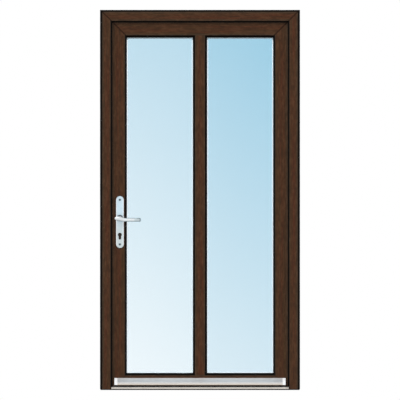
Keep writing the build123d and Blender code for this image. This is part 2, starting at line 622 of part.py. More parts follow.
def make_lock():
    """The lock's long forend in the leaf's edge, its case, and its bolts, drawn back level with it."""
    half = LOCK_GROOVE_WIDTH / 2
    bolt = BOLT_THICKNESS / 2
    slot = bolt + BOLT_CLEARANCE
    mouths = bolt_mouths()
    low, high = LOCK_LINE - half, LOCK_LINE + half
    forend = block(-LEAF_EDGE, -GROOVE_FLOOR, low, high, FOREND_FROM_BOTTOM, FRAME_TOP - FOREND_FROM_TOP)
    case = block(-GROOVE_FLOOR, CASE_BACK, low, high, CASE_BOTTOM, CASE_TOP)
    for bottom, top in mouths:
        forend -= block(
            -LEAF_EDGE - PAST, -GROOVE_FLOOR + PAST, LOCK_LINE - slot, LOCK_LINE + slot,
            bottom - BOLT_CLEARANCE, top + BOLT_CLEARANCE,
        )
    slot_back = -LEAF_EDGE + BOLT_LENGTH + BOLT_CLEARANCE
    for bottom, top in mouths[1:3]:
        case -= block(
            -GROOVE_FLOOR - PAST, slot_back, LOCK_LINE - slot, LOCK_LINE + slot,
            bottom - BOLT_CLEARANCE, top + BOLT_CLEARANCE,
        )
    follower_hole = FOLLOWER_DIAMETER / 2 + FOLLOWER_CLEARANCE
    case -= through(Circle(follower_hole), SPINDLE_X, SPINDLE_HEIGHT, low - PAST, high + PAST)
    case -= through(euro_profile(CYLINDER_BODY_GAP), SPINDLE_X, CYLINDER_LEVEL, low - PAST, high + PAST)
    bolts = [
        block(-LEAF_EDGE, -LEAF_EDGE + length, LOCK_LINE - bolt, LOCK_LINE + bolt, bottom, top)
        for (bottom, top), length in zip(mouths, (HOOK_LENGTH, BOLT_LENGTH, BOLT_LENGTH, HOOK_LENGTH))
    ]
    return {
        "lock_forend": forend,
        "lock_case": case,
        "dead_bolt": bolts[1],
        "latch_bolt": bolts[2],
        "hook_bolts": Compound(children=solids_of([bolts[0], bolts[3]])),
    }


def make_plate(y0, outward):
    """A long handle plate with round ends, a raised rose for the lever and a cylinder hole. It stands on the
    face at y0, and outward is -1 outside and 1 inside."""
    middle = SPINDLE_HEIGHT + PLATE_TOP_ABOVE_SPINDLE - PLATE_LENGTH / 2
    y1 = y0 + outward * PLATE_THICKNESS
    y2 = y1 + outward * ROSE_HEIGHT
    low, high = sorted((y0, y1))
    plate = through(SlotOverall(PLATE_LENGTH, PLATE_WIDTH, rotation=90), SPINDLE_X, middle, low, high)
    front = plate.faces().sort_by(Axis.Y)[-1 if outward > 0 else 0]
    plate = chamfer(front.edges(), PLATE_EDGE_CHAMFER)
    rose_low, rose_high = sorted((y1, y2))
    rose = through(Circle(ROSE_DIAMETER / 2), SPINDLE_X, SPINDLE_HEIGHT, rose_low, rose_high)
    rose_front = rose.faces().sort_by(Axis.Y)[-1 if outward > 0 else 0]
    rose = chamfer(rose_front.edges(), ROSE_CHAMFER)
    plate = plate + rose
    low, high = min(y0, y2) - PAST, max(y0, y2) + PAST
    plate -= through(Circle(NECK_DIAMETER / 2 + NECK_CLEARANCE), SPINDLE_X, SPINDLE_HEIGHT, low, high)
    plate -= through(euro_profile(CYLINDER_PLATE_GAP), SPINDLE_X, CYLINDER_LEVEL, low, high)
    recess_low, recess_high = sorted((y1 - outward * PLATE_SCREW_RECESS, y1 + outward * PAST))
    for way in (-1, 1):
        level = middle + way * (PLATE_LENGTH / 2 - PLATE_SCREW_INSET)
        plate -= through(Circle(PLATE_SCREW_HEAD / 2), SPINDLE_X, level, recess_low, recess_high)
    return plate


def make_cylinder():
    """The key cylinder, through the leaf and both plates, with a keyway in each end."""
    y0 = LEAF_FRONT - PLATE_THICKNESS + CYLINDER_RECESS
    y1 = LEAF_BACK + PLATE_THICKNESS - CYLINDER_RECESS
    cylinder = through(euro_profile(0), SPINDLE_X, CYLINDER_LEVEL, y0, y1)
    keyway = Rectangle(KEYWAY_WIDTH, KEYWAY_HEIGHT)
    cylinder -= through(keyway, SPINDLE_X, CYLINDER_LEVEL, y0 - PAST, y0 + KEYWAY_DEPTH)
    cylinder -= through(keyway, SPINDLE_X, CYLINDER_LEVEL, y1 - KEYWAY_DEPTH, y1 + PAST)
    return cylinder


def lever_bar():
    """The outside lever's bar, with the spindle's axis at X and Z of 0 and its middle at Y of 0. A section
    with sloping corners runs from a round nose, down through a shallow wave to the straight grip, and round
    a bend towards the door at its end."""
    section = Rectangle(GRIP_DEPTH, GRIP_HEIGHT)
    section = chamfer(section.vertices(), GRIP_CORNER)
    grip_level = LEVER_RISE - GRIP_DROP
    turn = 2 * math.atan(GRIP_DROP / WAVE_LENGTH)
    degrees = math.degrees(turn)
    radius = WAVE_LENGTH / (2 * math.sin(turn))
    wave_end = WAVE_START + WAVE_LENGTH
    nose = GRIP_DEPTH / 2 - NOSE_BEHIND_SPINDLE

    def across(x, z):
        """A section plane square to the bar's length, with its first axis towards the door."""
        return Plane((x, 0, z), x_dir=(0, 1, 0), z_dir=(1, 0, 0))

    first = across(WAVE_START, LEVER_RISE) * section
    fall = revolve(first, Axis((WAVE_START, 0, LEVER_RISE - radius), (0, 1, 0)), degrees)
    last = across(wave_end, grip_level) * section
    level_out = revolve(last, Axis((wave_end, 0, grip_level + radius), (0, 1, 0)), degrees)
    grip = extrude(last, amount=BEND_START - wave_end)
    start = extrude(across(nose, LEVER_RISE) * section, amount=WAVE_START - nose)
    half = across(nose, LEVER_RISE) * (section & chamber(0, GRIP_DEPTH, -GRIP_HEIGHT, GRIP_HEIGHT))
    tip = revolve(half, Axis((nose, 0, LEVER_RISE), (0, 0, 1)), 180)
    bend = revolve(
        across(BEND_START, grip_level) * section, Axis((BEND_START, BEND_RADIUS, 0), (0, 0, 1)), BEND_ANGLE
    )
    return tip + start + fall + level_out + grip + bend


def make_levers():
    """The lever handles outside and inside, mirror images of each other, each on a round neck with a
    square socket for the spindle."""
    neck = through(Circle(NECK_DIAMETER / 2), 0, 0, 0, LEVER_REACH - NECK_TO_LEAF)
    socket = SPINDLE_SIZE + 2 * SPINDLE_CLEARANCE
    socket_start = LEVER_REACH - SPINDLE_SOCKET
    lever = lever_bar() + neck - through(Rectangle(socket, socket), 0, 0, socket_start, LEVER_REACH)
    outside = Pos(SPINDLE_X, LEAF_FRONT - LEVER_REACH, SPINDLE_HEIGHT) * lever
    inside = Pos(SPINDLE_X, LEAF_BACK + LEVER_REACH, SPINDLE_HEIGHT) * mirror(lever, about=Plane.XZ)
    return {"lever_outside": outside, "lever_inside": inside}


def make_spindle():
    """The square spindle through the leaf, and the round follower that it turns in the lock case."""
    reach = SPINDLE_SOCKET - PAST
    square = Rectangle(SPINDLE_SIZE, SPINDLE_SIZE)
    spindle = through(square, SPINDLE_X, SPINDLE_HEIGHT, LEAF_FRONT - reach, LEAF_BACK + reach)
    socket = SPINDLE_SIZE + 2 * SPINDLE_CLEARANCE
    ring = Circle(FOLLOWER_DIAMETER / 2) - Rectangle(socket, socket)
    half = FOLLOWER_LENGTH / 2
    follower = through(ring, SPINDLE_X, SPINDLE_HEIGHT, LOCK_LINE - half, LOCK_LINE + half)
    return {"spindle": spindle, "follower": follower}


def make_hinge(level):
    """One hinge: the frame's half with two knuckles and the pin, and the leaf's half with one between."""
    radius = BARREL_DIAMETER / 2
    half = HINGE_HEIGHT / 2
    inner = half - (HINGE_HEIGHT - KNUCKLE_LENGTH) / 2
    web = HINGE_WEB / 2
    block_x = FRAME_EDGE - HINGE_BLOCK_WIDTH
    frame_half = block(block_x, FRAME_EDGE, FRAME_BACK, FRAME_BACK + HINGE_PLATE, level - half, level + half)
    for low, high in ((-half, -inner), (inner, half)):
        frame_half += block(
            block_x, FRAME_EDGE - web / 2, FRAME_BACK, HINGE_Y, level + low, level + high
        )
        frame_half += Pos(HINGE_X, HINGE_Y, level + (low + high) / 2) * Cylinder(radius, high - low)
    frame_half += Pos(HINGE_X, HINGE_Y, level) * Cylinder(PIN_DIAMETER / 2, HINGE_HEIGHT)

    plate_end = LEAF_EDGE + LEAF_LEG_WIDTH - HINGE_LEAF_PLATE_INSET
    knuckle = inner - KNUCKLE_GAP
    plate_top = LEAF_BACK + HINGE_PLATE
    leaf_half = block(
        plate_end - HINGE_LEAF_PLATE_LENGTH, plate_end, LEAF_BACK, plate_top, level - half, level + half
    )
    leaf_half += block(plate_end, HINGE_X, LEAF_BACK, LEAF_BACK + HINGE_WEB, level - knuckle, level + knuckle)
    leaf_half += Pos(HINGE_X, HINGE_Y, level) * Cylinder(radius, 2 * knuckle)
    leaf_half -= Pos(HINGE_X, HINGE_Y, level) * Cylinder(PIN_DIAMETER / 2 + PIN_CLEARANCE, HINGE_HEIGHT)
    return frame_half, leaf_half


def make_hinges():
    """The hinges, evenly named from bottom to top."""
    parts = {}
    for name, level in HINGE_LEVELS.items():
        parts["hinge_frame_" + name], parts["hinge_leaf_" + name] = make_hinge(level)
    return parts


def main():
    parts = {}
    for made in (
        make_frame(), make_surround(), make_threshold(), make_frame_gasket(), make_keeps(), make_leaf(),
        make_glazing(), make_leaf_gasket(), make_weather_bar(), make_brush_seal(), make_lock(),
        make_levers(), make_spindle(), make_hinges(),
    ):
        parts.update(made)
    parts["plate_outside"] = make_plate(LEAF_FRONT, -1)
    parts["plate_inside"] = make_plate(LEAF_BACK, 1)
    parts["lock_cylinder"] = make_cylinder()
    os.makedirs("parts", exist_ok=True)
    for name, shape in parts.items():
        export_step(shape, f"parts/{name}.step")
    print(len(parts), "nodes")


main()
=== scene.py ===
# %% [markdown]
# # A front door, dressed on its CAD frame
# The packed CAD model gives every rigid piece of this door at its real size: profiles, glass, lock, hinges
# and handles. This lesson adds what CAD leaves out. Finishes come from node formulas, and the small or soft
# pieces are surfaces worked out with numpy. Each piece rides on the body that carries it, so the door still
# opens and its handle still turns.

# %% Load the frame
import json
import math

import bmesh
import bpy
import numpy as np
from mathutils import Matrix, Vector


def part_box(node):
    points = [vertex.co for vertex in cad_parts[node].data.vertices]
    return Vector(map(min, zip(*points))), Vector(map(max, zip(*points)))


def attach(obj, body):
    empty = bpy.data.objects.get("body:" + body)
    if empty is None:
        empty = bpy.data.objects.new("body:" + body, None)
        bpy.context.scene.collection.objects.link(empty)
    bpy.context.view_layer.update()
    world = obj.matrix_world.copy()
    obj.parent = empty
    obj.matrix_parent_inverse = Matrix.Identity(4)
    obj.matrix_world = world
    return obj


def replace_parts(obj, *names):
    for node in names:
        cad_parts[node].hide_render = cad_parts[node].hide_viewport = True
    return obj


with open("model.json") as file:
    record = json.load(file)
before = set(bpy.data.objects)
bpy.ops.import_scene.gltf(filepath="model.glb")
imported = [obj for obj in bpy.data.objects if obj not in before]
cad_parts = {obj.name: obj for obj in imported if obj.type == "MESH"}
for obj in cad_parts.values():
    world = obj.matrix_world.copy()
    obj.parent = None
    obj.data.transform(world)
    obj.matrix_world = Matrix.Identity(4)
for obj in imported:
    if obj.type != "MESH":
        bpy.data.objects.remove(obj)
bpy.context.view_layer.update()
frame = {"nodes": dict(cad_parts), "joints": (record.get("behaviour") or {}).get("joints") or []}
nodes = frame["nodes"]

# %% [markdown]
# Places that several cells need, in metres. X runs across the doorway with the lock at the negative side, Y
# runs through the wall with the outside at the negative side, and Z is up. They are read from the CAD nodes
# where a node has them, so that the pieces stay with the model.

# %% Places round the glass and the frame
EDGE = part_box("leaf_mullion")[1].x
GLASS_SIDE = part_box("leaf_stile_hinge")[0].x
GLASS_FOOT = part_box("leaf_rail_bottom")[1].z
GLASS_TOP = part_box("leaf_rail_top")[0].z
LIP_EDGE, FRAME_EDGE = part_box("frame_jamb_hinge")[0].x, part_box("frame_jamb_hinge")[1].x
LIP_TOP, FRAME_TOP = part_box("frame_head")[0].z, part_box("frame_head")[1].z
LEAF_FRONT, LEAF_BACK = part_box("leaf_mullion")[0].y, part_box("leaf_mullion")[1].y
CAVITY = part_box("panes_outer")[1].y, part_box("panes_inner")[0].y
print("glass from", round(EDGE, 4), "to", round(GLASS_SIDE, 4), "and up from", round(GLASS_FOOT, 4))

# %% Lines of the outer gasket and the spacer
SIGHT_SIDE, SIGHT_FOOT, SIGHT_TOP = GLASS_SIDE + 0.004, GLASS_FOOT + 0.0015, GLASS_TOP - 0.003
SPACER_REACH = 0.016
print("outer gasket from", round(SIGHT_FOOT, 4), "to", round(SIGHT_TOP, 4))

# %% Places of the lock and the handle
SPINDLE_X = (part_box("spindle")[0].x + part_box("spindle")[1].x) / 2
SPINDLE_Z = (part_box("spindle")[0].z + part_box("spindle")[1].z) / 2
LOCK_LINE = (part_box("lock_forend")[0].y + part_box("lock_forend")[1].y) / 2
CYLINDER_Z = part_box("lock_cylinder")[1].z - 0.0085
PLATE_MIDDLE = (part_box("plate_outside")[0].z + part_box("plate_outside")[1].z) / 2
PLATE_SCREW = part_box("plate_outside")[1].z - PLATE_MIDDLE - 0.021
PLATE_DEPTH = 0.009
WEB_DROP = 0.0195
SIDES = (("outside", -1), ("inside", 1))
FACES = {-1: LEAF_FRONT, 1: LEAF_BACK}
print("spindle at", round(SPINDLE_X, 4), round(SPINDLE_Z, 4), "leaf from", LEAF_FRONT, "to", LEAF_BACK)

# %% [markdown]
# ## Formulas that read as they are written
# A finish is easiest to follow as a formula, such as 0.4 + 0.1 * grain. Blender's materials are graphs of
# nodes, so one small class wraps an output socket and overloads the operators. Each operator adds its Math
# node. Every other node comes from one method, which takes the node's type, its settings and its sockets.

# %% A wire
class Wire:
    """An output socket in a material. Numbers and other wires combine with it through Math nodes."""

    def __init__(self, finish, socket):
        self.finish = finish
        self.socket = socket

    def math(self, operation, *values):
        sockets = dict(enumerate(values))
        return self.finish.node("ShaderNodeMath", {"operation": operation}, sockets)

    def __add__(self, other):
        return self.math("ADD", self, other)

    def __sub__(self, other):
        return self.math("SUBTRACT", self, other)

    def __rsub__(self, other):
        return self.math("SUBTRACT", other, self)

    def __mul__(self, other):
        return self.math("MULTIPLY", self, other)

    def __truediv__(self, other):
        return self.math("DIVIDE", self, other)

    def __pow__(self, other):
        return self.math("POWER", self, other)

    def __gt__(self, other):
        return self.math("GREATER_THAN", self, other)

    def __lt__(self, other):
        return self.math("LESS_THAN", self, other)

    def __abs__(self):
        return self.math("ABSOLUTE", self)

    __radd__ = __add__

    def sine(self):
        return self.math("SINE", self)

    def least(self, other):
        return self.math("MINIMUM", self, other)

    def over(self, low, high):
        """0 where the wire is at low or under, 1 where it is at high or over, and smooth between."""
        ends = {"Value": self, "From Min": low, "From Max": high}
        return self.finish.node("ShaderNodeMapRange", {"interpolation_type": "SMOOTHSTEP"}, ends)


print("wire:", Wire.__doc__)

# %% A finish
class Finish:
    """A material for one of the door's finishes, with its shader and the nodes that feed it."""

    def __init__(self, name, **shader):
        self.material = bpy.data.materials.new(name)
        self.material.use_nodes = True
        self.tree = self.material.node_tree
        self.shader = self.tree.nodes["Principled BSDF"]
        self.place = self.node("ShaderNodeTexCoord", out="Object")
        self.set(**shader)

    def node(self, kind, settings=None, sockets=None, out=0):
        """Adds a node: settings first, then each socket gets its value or wire. Returns one output."""
        made = self.tree.nodes.new(kind)
        for name, value in (settings or {}).items():
            setattr(made, name, value)
        for key, value in (sockets or {}).items():
            if isinstance(value, Wire):
                self.tree.links.new(value.socket, made.inputs[key])
            else:
                made.inputs[key].default_value = value
        return Wire(self, made.outputs[out])

    def set(self, **shader):
        """Sets or links the shader's own sockets, such as Base_Color, Roughness or Normal."""
        for name, value in shader.items():
            socket = self.shader.inputs[name.replace("_", " ")]
            if isinstance(value, Wire):
                self.tree.links.new(value.socket, socket)
            else:
                socket.default_value = value

    def axes(self):
        """The three parts of the Object coordinates, as wires."""
        parts = self.node("ShaderNodeSeparateXYZ", sockets={0: self.place})
        outputs = parts.socket.node.outputs
        return tuple(Wire(self, socket) for socket in outputs)

    def stretched(self, scale, move=(0, 0, 0)):
        """Object coordinates, scaled and moved by a Mapping node. A small scale stretches a pattern."""
        sockets = {"Vector": self.place, "Scale": scale, "Location": move}
        return self.node("ShaderNodeMapping", {}, sockets)

    def noise(self, vector, scale, detail=3.0, roughness=0.5):
        """Soft noise from 0 to 1, with scale in waves per metre."""
        sockets = {"Vector": vector, "Scale": scale, "Detail": detail, "Roughness": roughness}
        return self.node("ShaderNodeTexNoise", {}, sockets)

    def mixed(self, mask, low, high):
        """One colour where the mask is 0 and another where it is 1."""
        sockets = {0: mask, 6: low, 7: high}
        return self.node("ShaderNodeMix", {"data_type": "RGBA"}, sockets, out=2)

    def layered(self, tone, steps):
        """A tone under some layers, each of them a mask and its colour."""
        for mask, colour in steps:
            tone = self.mixed(mask, tone, colour)
        return tone

    def bumped(self, height, depth, strength=1.0):
        """A normal bent by a height that runs from 0 to 1, with its depth in metres."""
        sockets = {"Height": height, "Distance": depth, "Strength": strength}
        return self.node("ShaderNodeBump", {}, sockets)


print("finish:", Finish.__doc__)

# %% Colours and distances
def paint(red, green, blue):
    """A colour from sRGB numbers from 0 to 255, as Blender's linear colour with an alpha of 1."""
    shares = np.array((red, green, blue), float) / 255
    linear = np.where(shares <= 0.04045, shares / 12.92, ((shares + 0.055) / 1.055) ** 2.4)
    return (*linear.tolist(), 1.0)


def apart(across, up):
    """The distance sqrt(across^2 + up^2), as a wire."""
    return (across ** 2 + up ** 2) ** 0.5


BLACK = paint(9, 5, 3)
print("black in linear light", [round(value, 4) for value in BLACK])

# %% [markdown]
# ## Woodgrain foil
# The profiles are plastic wrapped in a printed foil. Its print is dark brown with reddish and olive streaks
# that run along each length, and a fine emboss catches the light. At each corner the lengths were cut at 45
# degrees and welded, and the weld is touched up with a dark pen. The grain is noise on Object coordinates,
# and a Mapping node stretches it along the length, so one formula serves upright and level lengths.

# %% The foil's grain
FOIL_GRAIN = {"long": (0.022, 70.0, 4.0, 0.3), "streaks": (0.012, 190.0, 3.0, 2.1),
              "fine": (0.03, 420.0, 3.0, 4.4), "patches": (0.16, 24.0, 3.0, 6.2),
              "flecks": (0.13, 105.0, 3.0, 3.7), "figure": (0.4, 80.0, 3.0, 1.9),
              "pores": (0.035, 950.0, 2.0, 8.8)}


def foil_grain(made, upright, seed):
    """Noises by name. Each is given by its squeeze along the length, its waves per metre across, its detail
    and its shift, which moves it away from the others."""
    grain = {}
    for kind, (squeeze, waves, detail, shift) in FOIL_GRAIN.items():
        scale = (1, 1, squeeze) if upright else (squeeze, 1, 1)
        vector = made.stretched(scale, (seed + shift, shift * 1.7, seed - shift))
        grain[kind] = made.noise(vector, waves, detail, 0.58)
    grain["pores"] = grain["pores"].over(0.6, 0.72)
    return grain


print("kinds of grain", *FOIL_GRAIN)

# %% The foil's tone
FOIL_BROWN = paint(76, 48, 28)


def foil_tone(made, grain, middles, edges):
    """Brown moves by the streaks to olive and by the long grain to red, more so along the middle of a
    length, and a painted highlight makes it greyer at the edges. Flecks and a soft figure then make it
    darker and lighter, and the fine grain and the pores make it darker."""
    olive = (1 - grain["streaks"]).over(0.42, 0.66) * 0.75
    red = middles * 0.65 + grain["long"].over(0.45, 0.66) * 0.5 + grain["patches"].over(0.45, 0.7) * 0.35
    flecks, figure = grain["flecks"], grain["figure"]
    steps = ((olive, paint(69, 51, 28)),
             (red.over(0.3, 1.1) * grain["streaks"].over(0.25, 0.6) * 0.85, paint(85, 43, 24)),
             # painted highlight: greyer along both edges of each length
             (edges * 0.75, paint(70, 58, 46)),
             (flecks.over(0.48, 0.68) * 0.4, paint(50, 33, 21)),
             ((1 - flecks).over(0.5, 0.7) * 0.35, paint(95, 62, 42)),
             (figure.over(0.46, 0.68) * 0.36, paint(48, 32, 20)),
             ((1 - figure).over(0.48, 0.7) * 0.36, paint(97, 68, 48)),
             (grain["fine"].over(0.3, 0.75) * 0.6, paint(44, 30, 20)),
             (grain["pores"] * 0.6, paint(28, 18, 12)))
    return made.layered(FOIL_BROWN, steps)


print("brown in linear light", [round(value, 4) for value in FOIL_BROWN])

# %% Lines on the foil
def foil_lines(x, y, z, upright):
    """Two masks. The pen line on a weld is where |x| - z has one value at the top corners, and it is fainter
    where |x| + z has one at the foot. Black is the gasket moulded on to the outer edge at the glass together
    with painted shade beside it, 6 mm on the stiles and 2 mm on the mullion and the bottom rail, and it is
    the gasket with painted shade in the joint on 4.5 mm of the jambs' lips."""
    side = abs(x)
    stile_black, bar_black, lip_black = 0.006, 0.002, 0.0045
    weld = 1 - abs(side - z + GLASS_TOP - GLASS_SIDE).over(0.0028, 0.0062)
    foot_weld = 1 - abs(side + z - GLASS_SIDE - GLASS_FOOT).over(0.002, 0.005)
    pen = weld * (z > GLASS_TOP - 0.06) + foot_weld * (z < GLASS_FOOT + 0.017) * 0.6
    pen = pen * (side > GLASS_SIDE - 0.005)
    beside = (side - EDGE + bar_black).least(GLASS_SIDE + stile_black - side)
    above = (z - GLASS_FOOT + bar_black).least(GLASS_TOP - z)
    # black: moulded gasket and painted shade along the glass's edge
    black = (beside > 0) * (above > 0) * (y < LEAF_FRONT + 0.022)
    if upright:
        lip = (side - LIP_EDGE + 0.0005).least(LIP_EDGE + lip_black - side)
        # on the jambs' lips: gasket and painted shade in the joint with the leaf
        black = black + (lip > 0) * (z < LIP_TOP + 0.0022) * (y < LEAF_FRONT - 0.0025)
    return pen, black


print("welds run from", round(GLASS_SIDE, 3), "to", round(FRAME_EDGE, 3))

# %% The foil as a material
def foil(name, upright, lengths, seed):
    """Each length is given by its two edges. The middle mask falls from 1 to 0 between 0.2 and 0.85 of the
    way to an edge, and the edge mask, which carries a painted highlight, rises between 11 and 2 mm from
    it. Height is the fine and the long grain less the pores."""
    made = Finish(name, IOR=1.45, Specular_IOR_Level=0.12)
    x, y, z = made.axes()
    across = abs(x) if upright else z
    grain = foil_grain(made, upright, seed)
    middles, edges = 0.0, 0.0
    for low, high in lengths:
        half = (high - low) / 2
        away = abs(across - (low + high) / 2)
        middles = (1 - away.over(0.2 * half, 0.85 * half)) + middles
        # edges is the mask of a painted highlight along both edges of a length
        edges = away.over(half - 0.011, half - 0.002) * (away < half + 0.0015) + edges
    tone = foil_tone(made, grain, middles, edges)
    pen, black = foil_lines(x, y, z, upright)
    made.set(Base_Color=made.layered(tone, ((pen * 0.8, paint(38, 19, 8)), (black, BLACK))))
    height = grain["fine"] * 0.7 + grain["long"] * 0.3 - grain["pores"] * 0.8
    made.set(Roughness=0.46 + grain["fine"] * 0.14, Normal=made.bumped(height, 0.00022, 0.8))
    return made.material


seam = 0.007
upright_lengths = ((LIP_EDGE, FRAME_EDGE), (GLASS_SIDE, LIP_EDGE - seam), (-EDGE, EDGE))
level_lengths = ((LIP_TOP, FRAME_TOP), (GLASS_TOP, LIP_TOP - seam), (GLASS_FOOT - 0.041, GLASS_FOOT))
upright_foil = foil("foil_upright", True, upright_lengths, 0.37)
level_foil = foil("foil_level", False, level_lengths, 5.21)
print("foil materials", upright_foil.name, level_foil.name)

# %% Give the profiles their foil
def dress(material, *names):
    """Puts a material in every slot of some CAD nodes."""
    for name in names:
        for slot in nodes[name].material_slots:
            slot.material = material
        if not nodes[name].material_slots:
            nodes[name].data.materials.append(material)


dress(upright_foil, "frame_jamb_lock", "frame_jamb_hinge", "leaf_stile_lock", "leaf_stile_hinge")
dress(upright_foil, "leaf_mullion", "beads_upright")
dress(level_foil, "frame_head", "leaf_rail_top", "leaf_rail_bottom", "beads_level")
print("foiled lengths", 10)

# %% [markdown]
# ## Black rubber, foam and sealant
# Gaskets are extruded rubber, so they have faint lines along them and a soft, slightly dusty surface. The
# foam round the frame is full of small cells. Both are nearly black, and what makes them real is roughness.

# %% Blacks
def rubber(name, tone, cells, depth):
    """Colour is nearly black with a dusty mottle. Height is noise, at cells waves to the metre."""
    made = Finish(name, Specular_IOR_Level=0.06)
    mottle = made.noise(made.place, 35.0, 4.0, 0.6)
    grain = made.noise(made.place, cells, 2.0, 0.5)
    lighter = tuple(value * 2.2 + 0.002 for value in tone[:3]) + (1.0,)
    made.set(Base_Color=made.mixed(mottle.over(0.4, 0.8) * 0.6 + grain * 0.2, tone, lighter))
    made.set(Roughness=0.58 + mottle * 0.2, Normal=made.bumped(grain, depth, 0.6))
    return made.material


gasket_black = rubber("gasket_black", BLACK, 700.0, 0.0001)
foam_black = rubber("foam_black", BLACK, 1400.0, 0.0003)
sealant_black = rubber("sealant_black", paint(20, 18, 18), 260.0, 0.0002)
dress(foam_black, "base_strip")
dress(sealant_black, "edge_sealant")
print("black finishes", 3)

# %% [markdown]
# ## Glass
# Each opening holds two panes with a gas space between them. The photograph shows them pale blue, deepest at
# the top of the hinge side and almost clear at the foot of the lock side, so the tint is a formula of x and
# z. The outer pane carries the tint, and the inner one is nearly clear, so the tint isn't counted twice.

# %% Glass finishes
def glass(name, clear, deep, bare):
    """The tint grows by 0.62 from foot to top and by 0.2 across the door, and it is 0.16 deeper in the hinge
    side's unit. Within bare metres of the gasket's line the coating is ground off, as on real units, so the
    spacer shows bright there."""
    made = Finish(name, Transmission_Weight=1.0, IOR=1.45, Roughness=0.0)
    x, y, z = made.axes()
    cloud = made.noise(made.stretched((1, 1, 0.5)), 1.6, 1.0) - 0.5
    share = (z / GLASS_TOP) * 0.62 + (x > 0) * 0.16 + (x + 0.4) * 0.25 + cloud * 0.06
    beside = (abs(x) - EDGE).least(SIGHT_SIDE - abs(x))
    above = (z - SIGHT_FOOT).least(SIGHT_TOP - z)
    coated = beside.least(above) > bare
    made.set(Base_Color=made.mixed(share * coated, clear, deep))
    return made.material


tinted_glass = glass("glass_tinted", paint(243, 250, 254), paint(158, 207, 230), SPACER_REACH - 0.0002)
clear_glass = glass("glass_clear", paint(252, 254, 254), paint(249, 253, 253), 0.0)
dress(tinted_glass, "panes_outer")
dress(clear_glass, "panes_inner")
print("glass finishes", 2)

# %% [markdown]
# ## Metals
# The bar at the leaf's foot and the threshold are extruded aluminium with fine lines along them. The plates
# and levers are satin silver, brushed along their length, and the lock's steel is zinc plated and slightly
# cloudy. All of them are one formula: noise squeezed along the lines moves the roughness and the height.

# %% Brushed metals
def metal(name, tone, dark, squeeze, lines, rough, depth=0.00004, cloud=0.3, metallic=0.9, shade=None):
    """Roughness is rough plus a share of the lines. Colour goes from tone to dark by lines and clouds, and
    then to other colours by painted light and shade, a formula of the place, where one is given."""
    made = Finish(name, Metallic=metallic, Specular_IOR_Level=0.5)
    brushed = made.noise(made.stretched(squeeze), lines, 2.0, 0.6)
    cloudy = made.noise(made.place, 22.0, 3.0, 0.55)
    tone = made.mixed(brushed * 0.4 + cloudy.over(0.35, 0.75) * cloud, tone, dark)
    made.set(Base_Color=made.layered(tone, shade(*made.axes()) if shade else ()))
    made.set(Roughness=rough + brushed * 0.14 + cloudy * 0.06)
    made.set(Normal=made.bumped(brushed, depth, 0.5))
    return made.material


level_lines, upright_lines, no_lines = (0.01, 1, 1), (1, 1, 0.02), (1, 1, 1)
print("squeeze along level lines", level_lines[0], "and upright ones", upright_lines[2])

# %% Painted light and shade on the bar and the sill
def bar_painted_light(x, y, z):
    """Painted light on the bar: its slope is a little blue across its middle, and warmer along its nose."""
    # painted light: blue across the slope's middle, warmer along the nose
    return ((z.over(0.04, 0.046) * (1 - z.over(0.054, 0.062)) * 0.5, paint(192, 200, 208)),
            ((1 - z.over(0.031, 0.041)) * 0.85, paint(206, 194, 180)))


def sill_painted_shade(x, y, z):
    """A painted shade makes the sill dark up to 6 mm from the ground."""
    # painted shade at the sill's foot
    return ((z < 0.006, BLACK),)


bar_aluminium = metal("bar_aluminium", paint(226, 227, 226), paint(194, 195, 196), level_lines, 900.0, 0.34,
                      shade=bar_painted_light)
sill_aluminium = metal("sill_aluminium", paint(214, 208, 200), paint(174, 168, 160), level_lines, 700.0,
                       0.38, shade=sill_painted_shade)
dress(bar_aluminium, "weather_bar")
dress(sill_aluminium, "threshold")
print("aluminium finishes", 2)

# %% Painted light and shade on the plates and levers
def plate_painted_light(x, y, z):
    """Painted light and shade. A painted reflection of blue sky above gives way to grey ground below, and a
    painted highlight makes the rim bright. Painted shade darkens a ring round the rose's middle, more so over
    the lever than under it, and the recesses round the screws and the wall of the cylinder's hole, which is a
    circle with a web under it."""
    across, rise = x - SPINDLE_X, z - CYLINDER_Z
    reach = apart(across, z - SPINDLE_Z)
    ring = reach.over(0.0105, 0.0125) * (1 - reach.over(0.0168, 0.0192))
    rim = abs(across).over(0.0145, 0.0185)
    screw = apart(across, abs(z - PLATE_MIDDLE) - PLATE_SCREW)
    round_hole = apart(across, rise) < 0.0108
    web_end = apart(across, rise + WEB_DROP) < 0.0073
    web = (abs(across) < 0.0073) * (abs(rise + 0.01) < 0.0095) + web_end
    # painted reflection of sky and ground, painted highlight on the rim, and painted shade in the rose's
    # ring, round the screws and in the cylinder's hole
    return (((1 - z.over(0.84, 1.0)) * 0.8, paint(196, 205, 205)), (rim * 0.7, paint(252, 252, 253)),
            ((1 - screw.over(0.0052, 0.008)) * 0.8, paint(84, 102, 112)),
            (ring * (0.35 + z.over(SPINDLE_Z - 0.01, SPINDLE_Z + 0.01) * 0.6), paint(76, 74, 82)),
            ((round_hole + web) > 0.5, paint(36, 28, 22)))


def lever_painted_light(x, y, z):
    """Painted reflections: along the grip the top and bottom edges are darker than the line between them, and
    so is the end. The middle falls with the lever: z = spindle - rise - drop * smooth step of x."""
    along = x - SPINDLE_X
    away = abs(z - (SPINDLE_Z - 0.0015 - along.over(-0.012, 0.032) * 0.008))
    grip = along.over(0.018, 0.034)
    # painted reflections: darker bands along the grip's top and bottom edges and at its end
    return ((away.over(0.0035, 0.0075) * (0.25 + grip * 0.55), paint(122, 140, 148)),
            (along.over(0.074, 0.086) * 0.5, paint(158, 178, 182)))


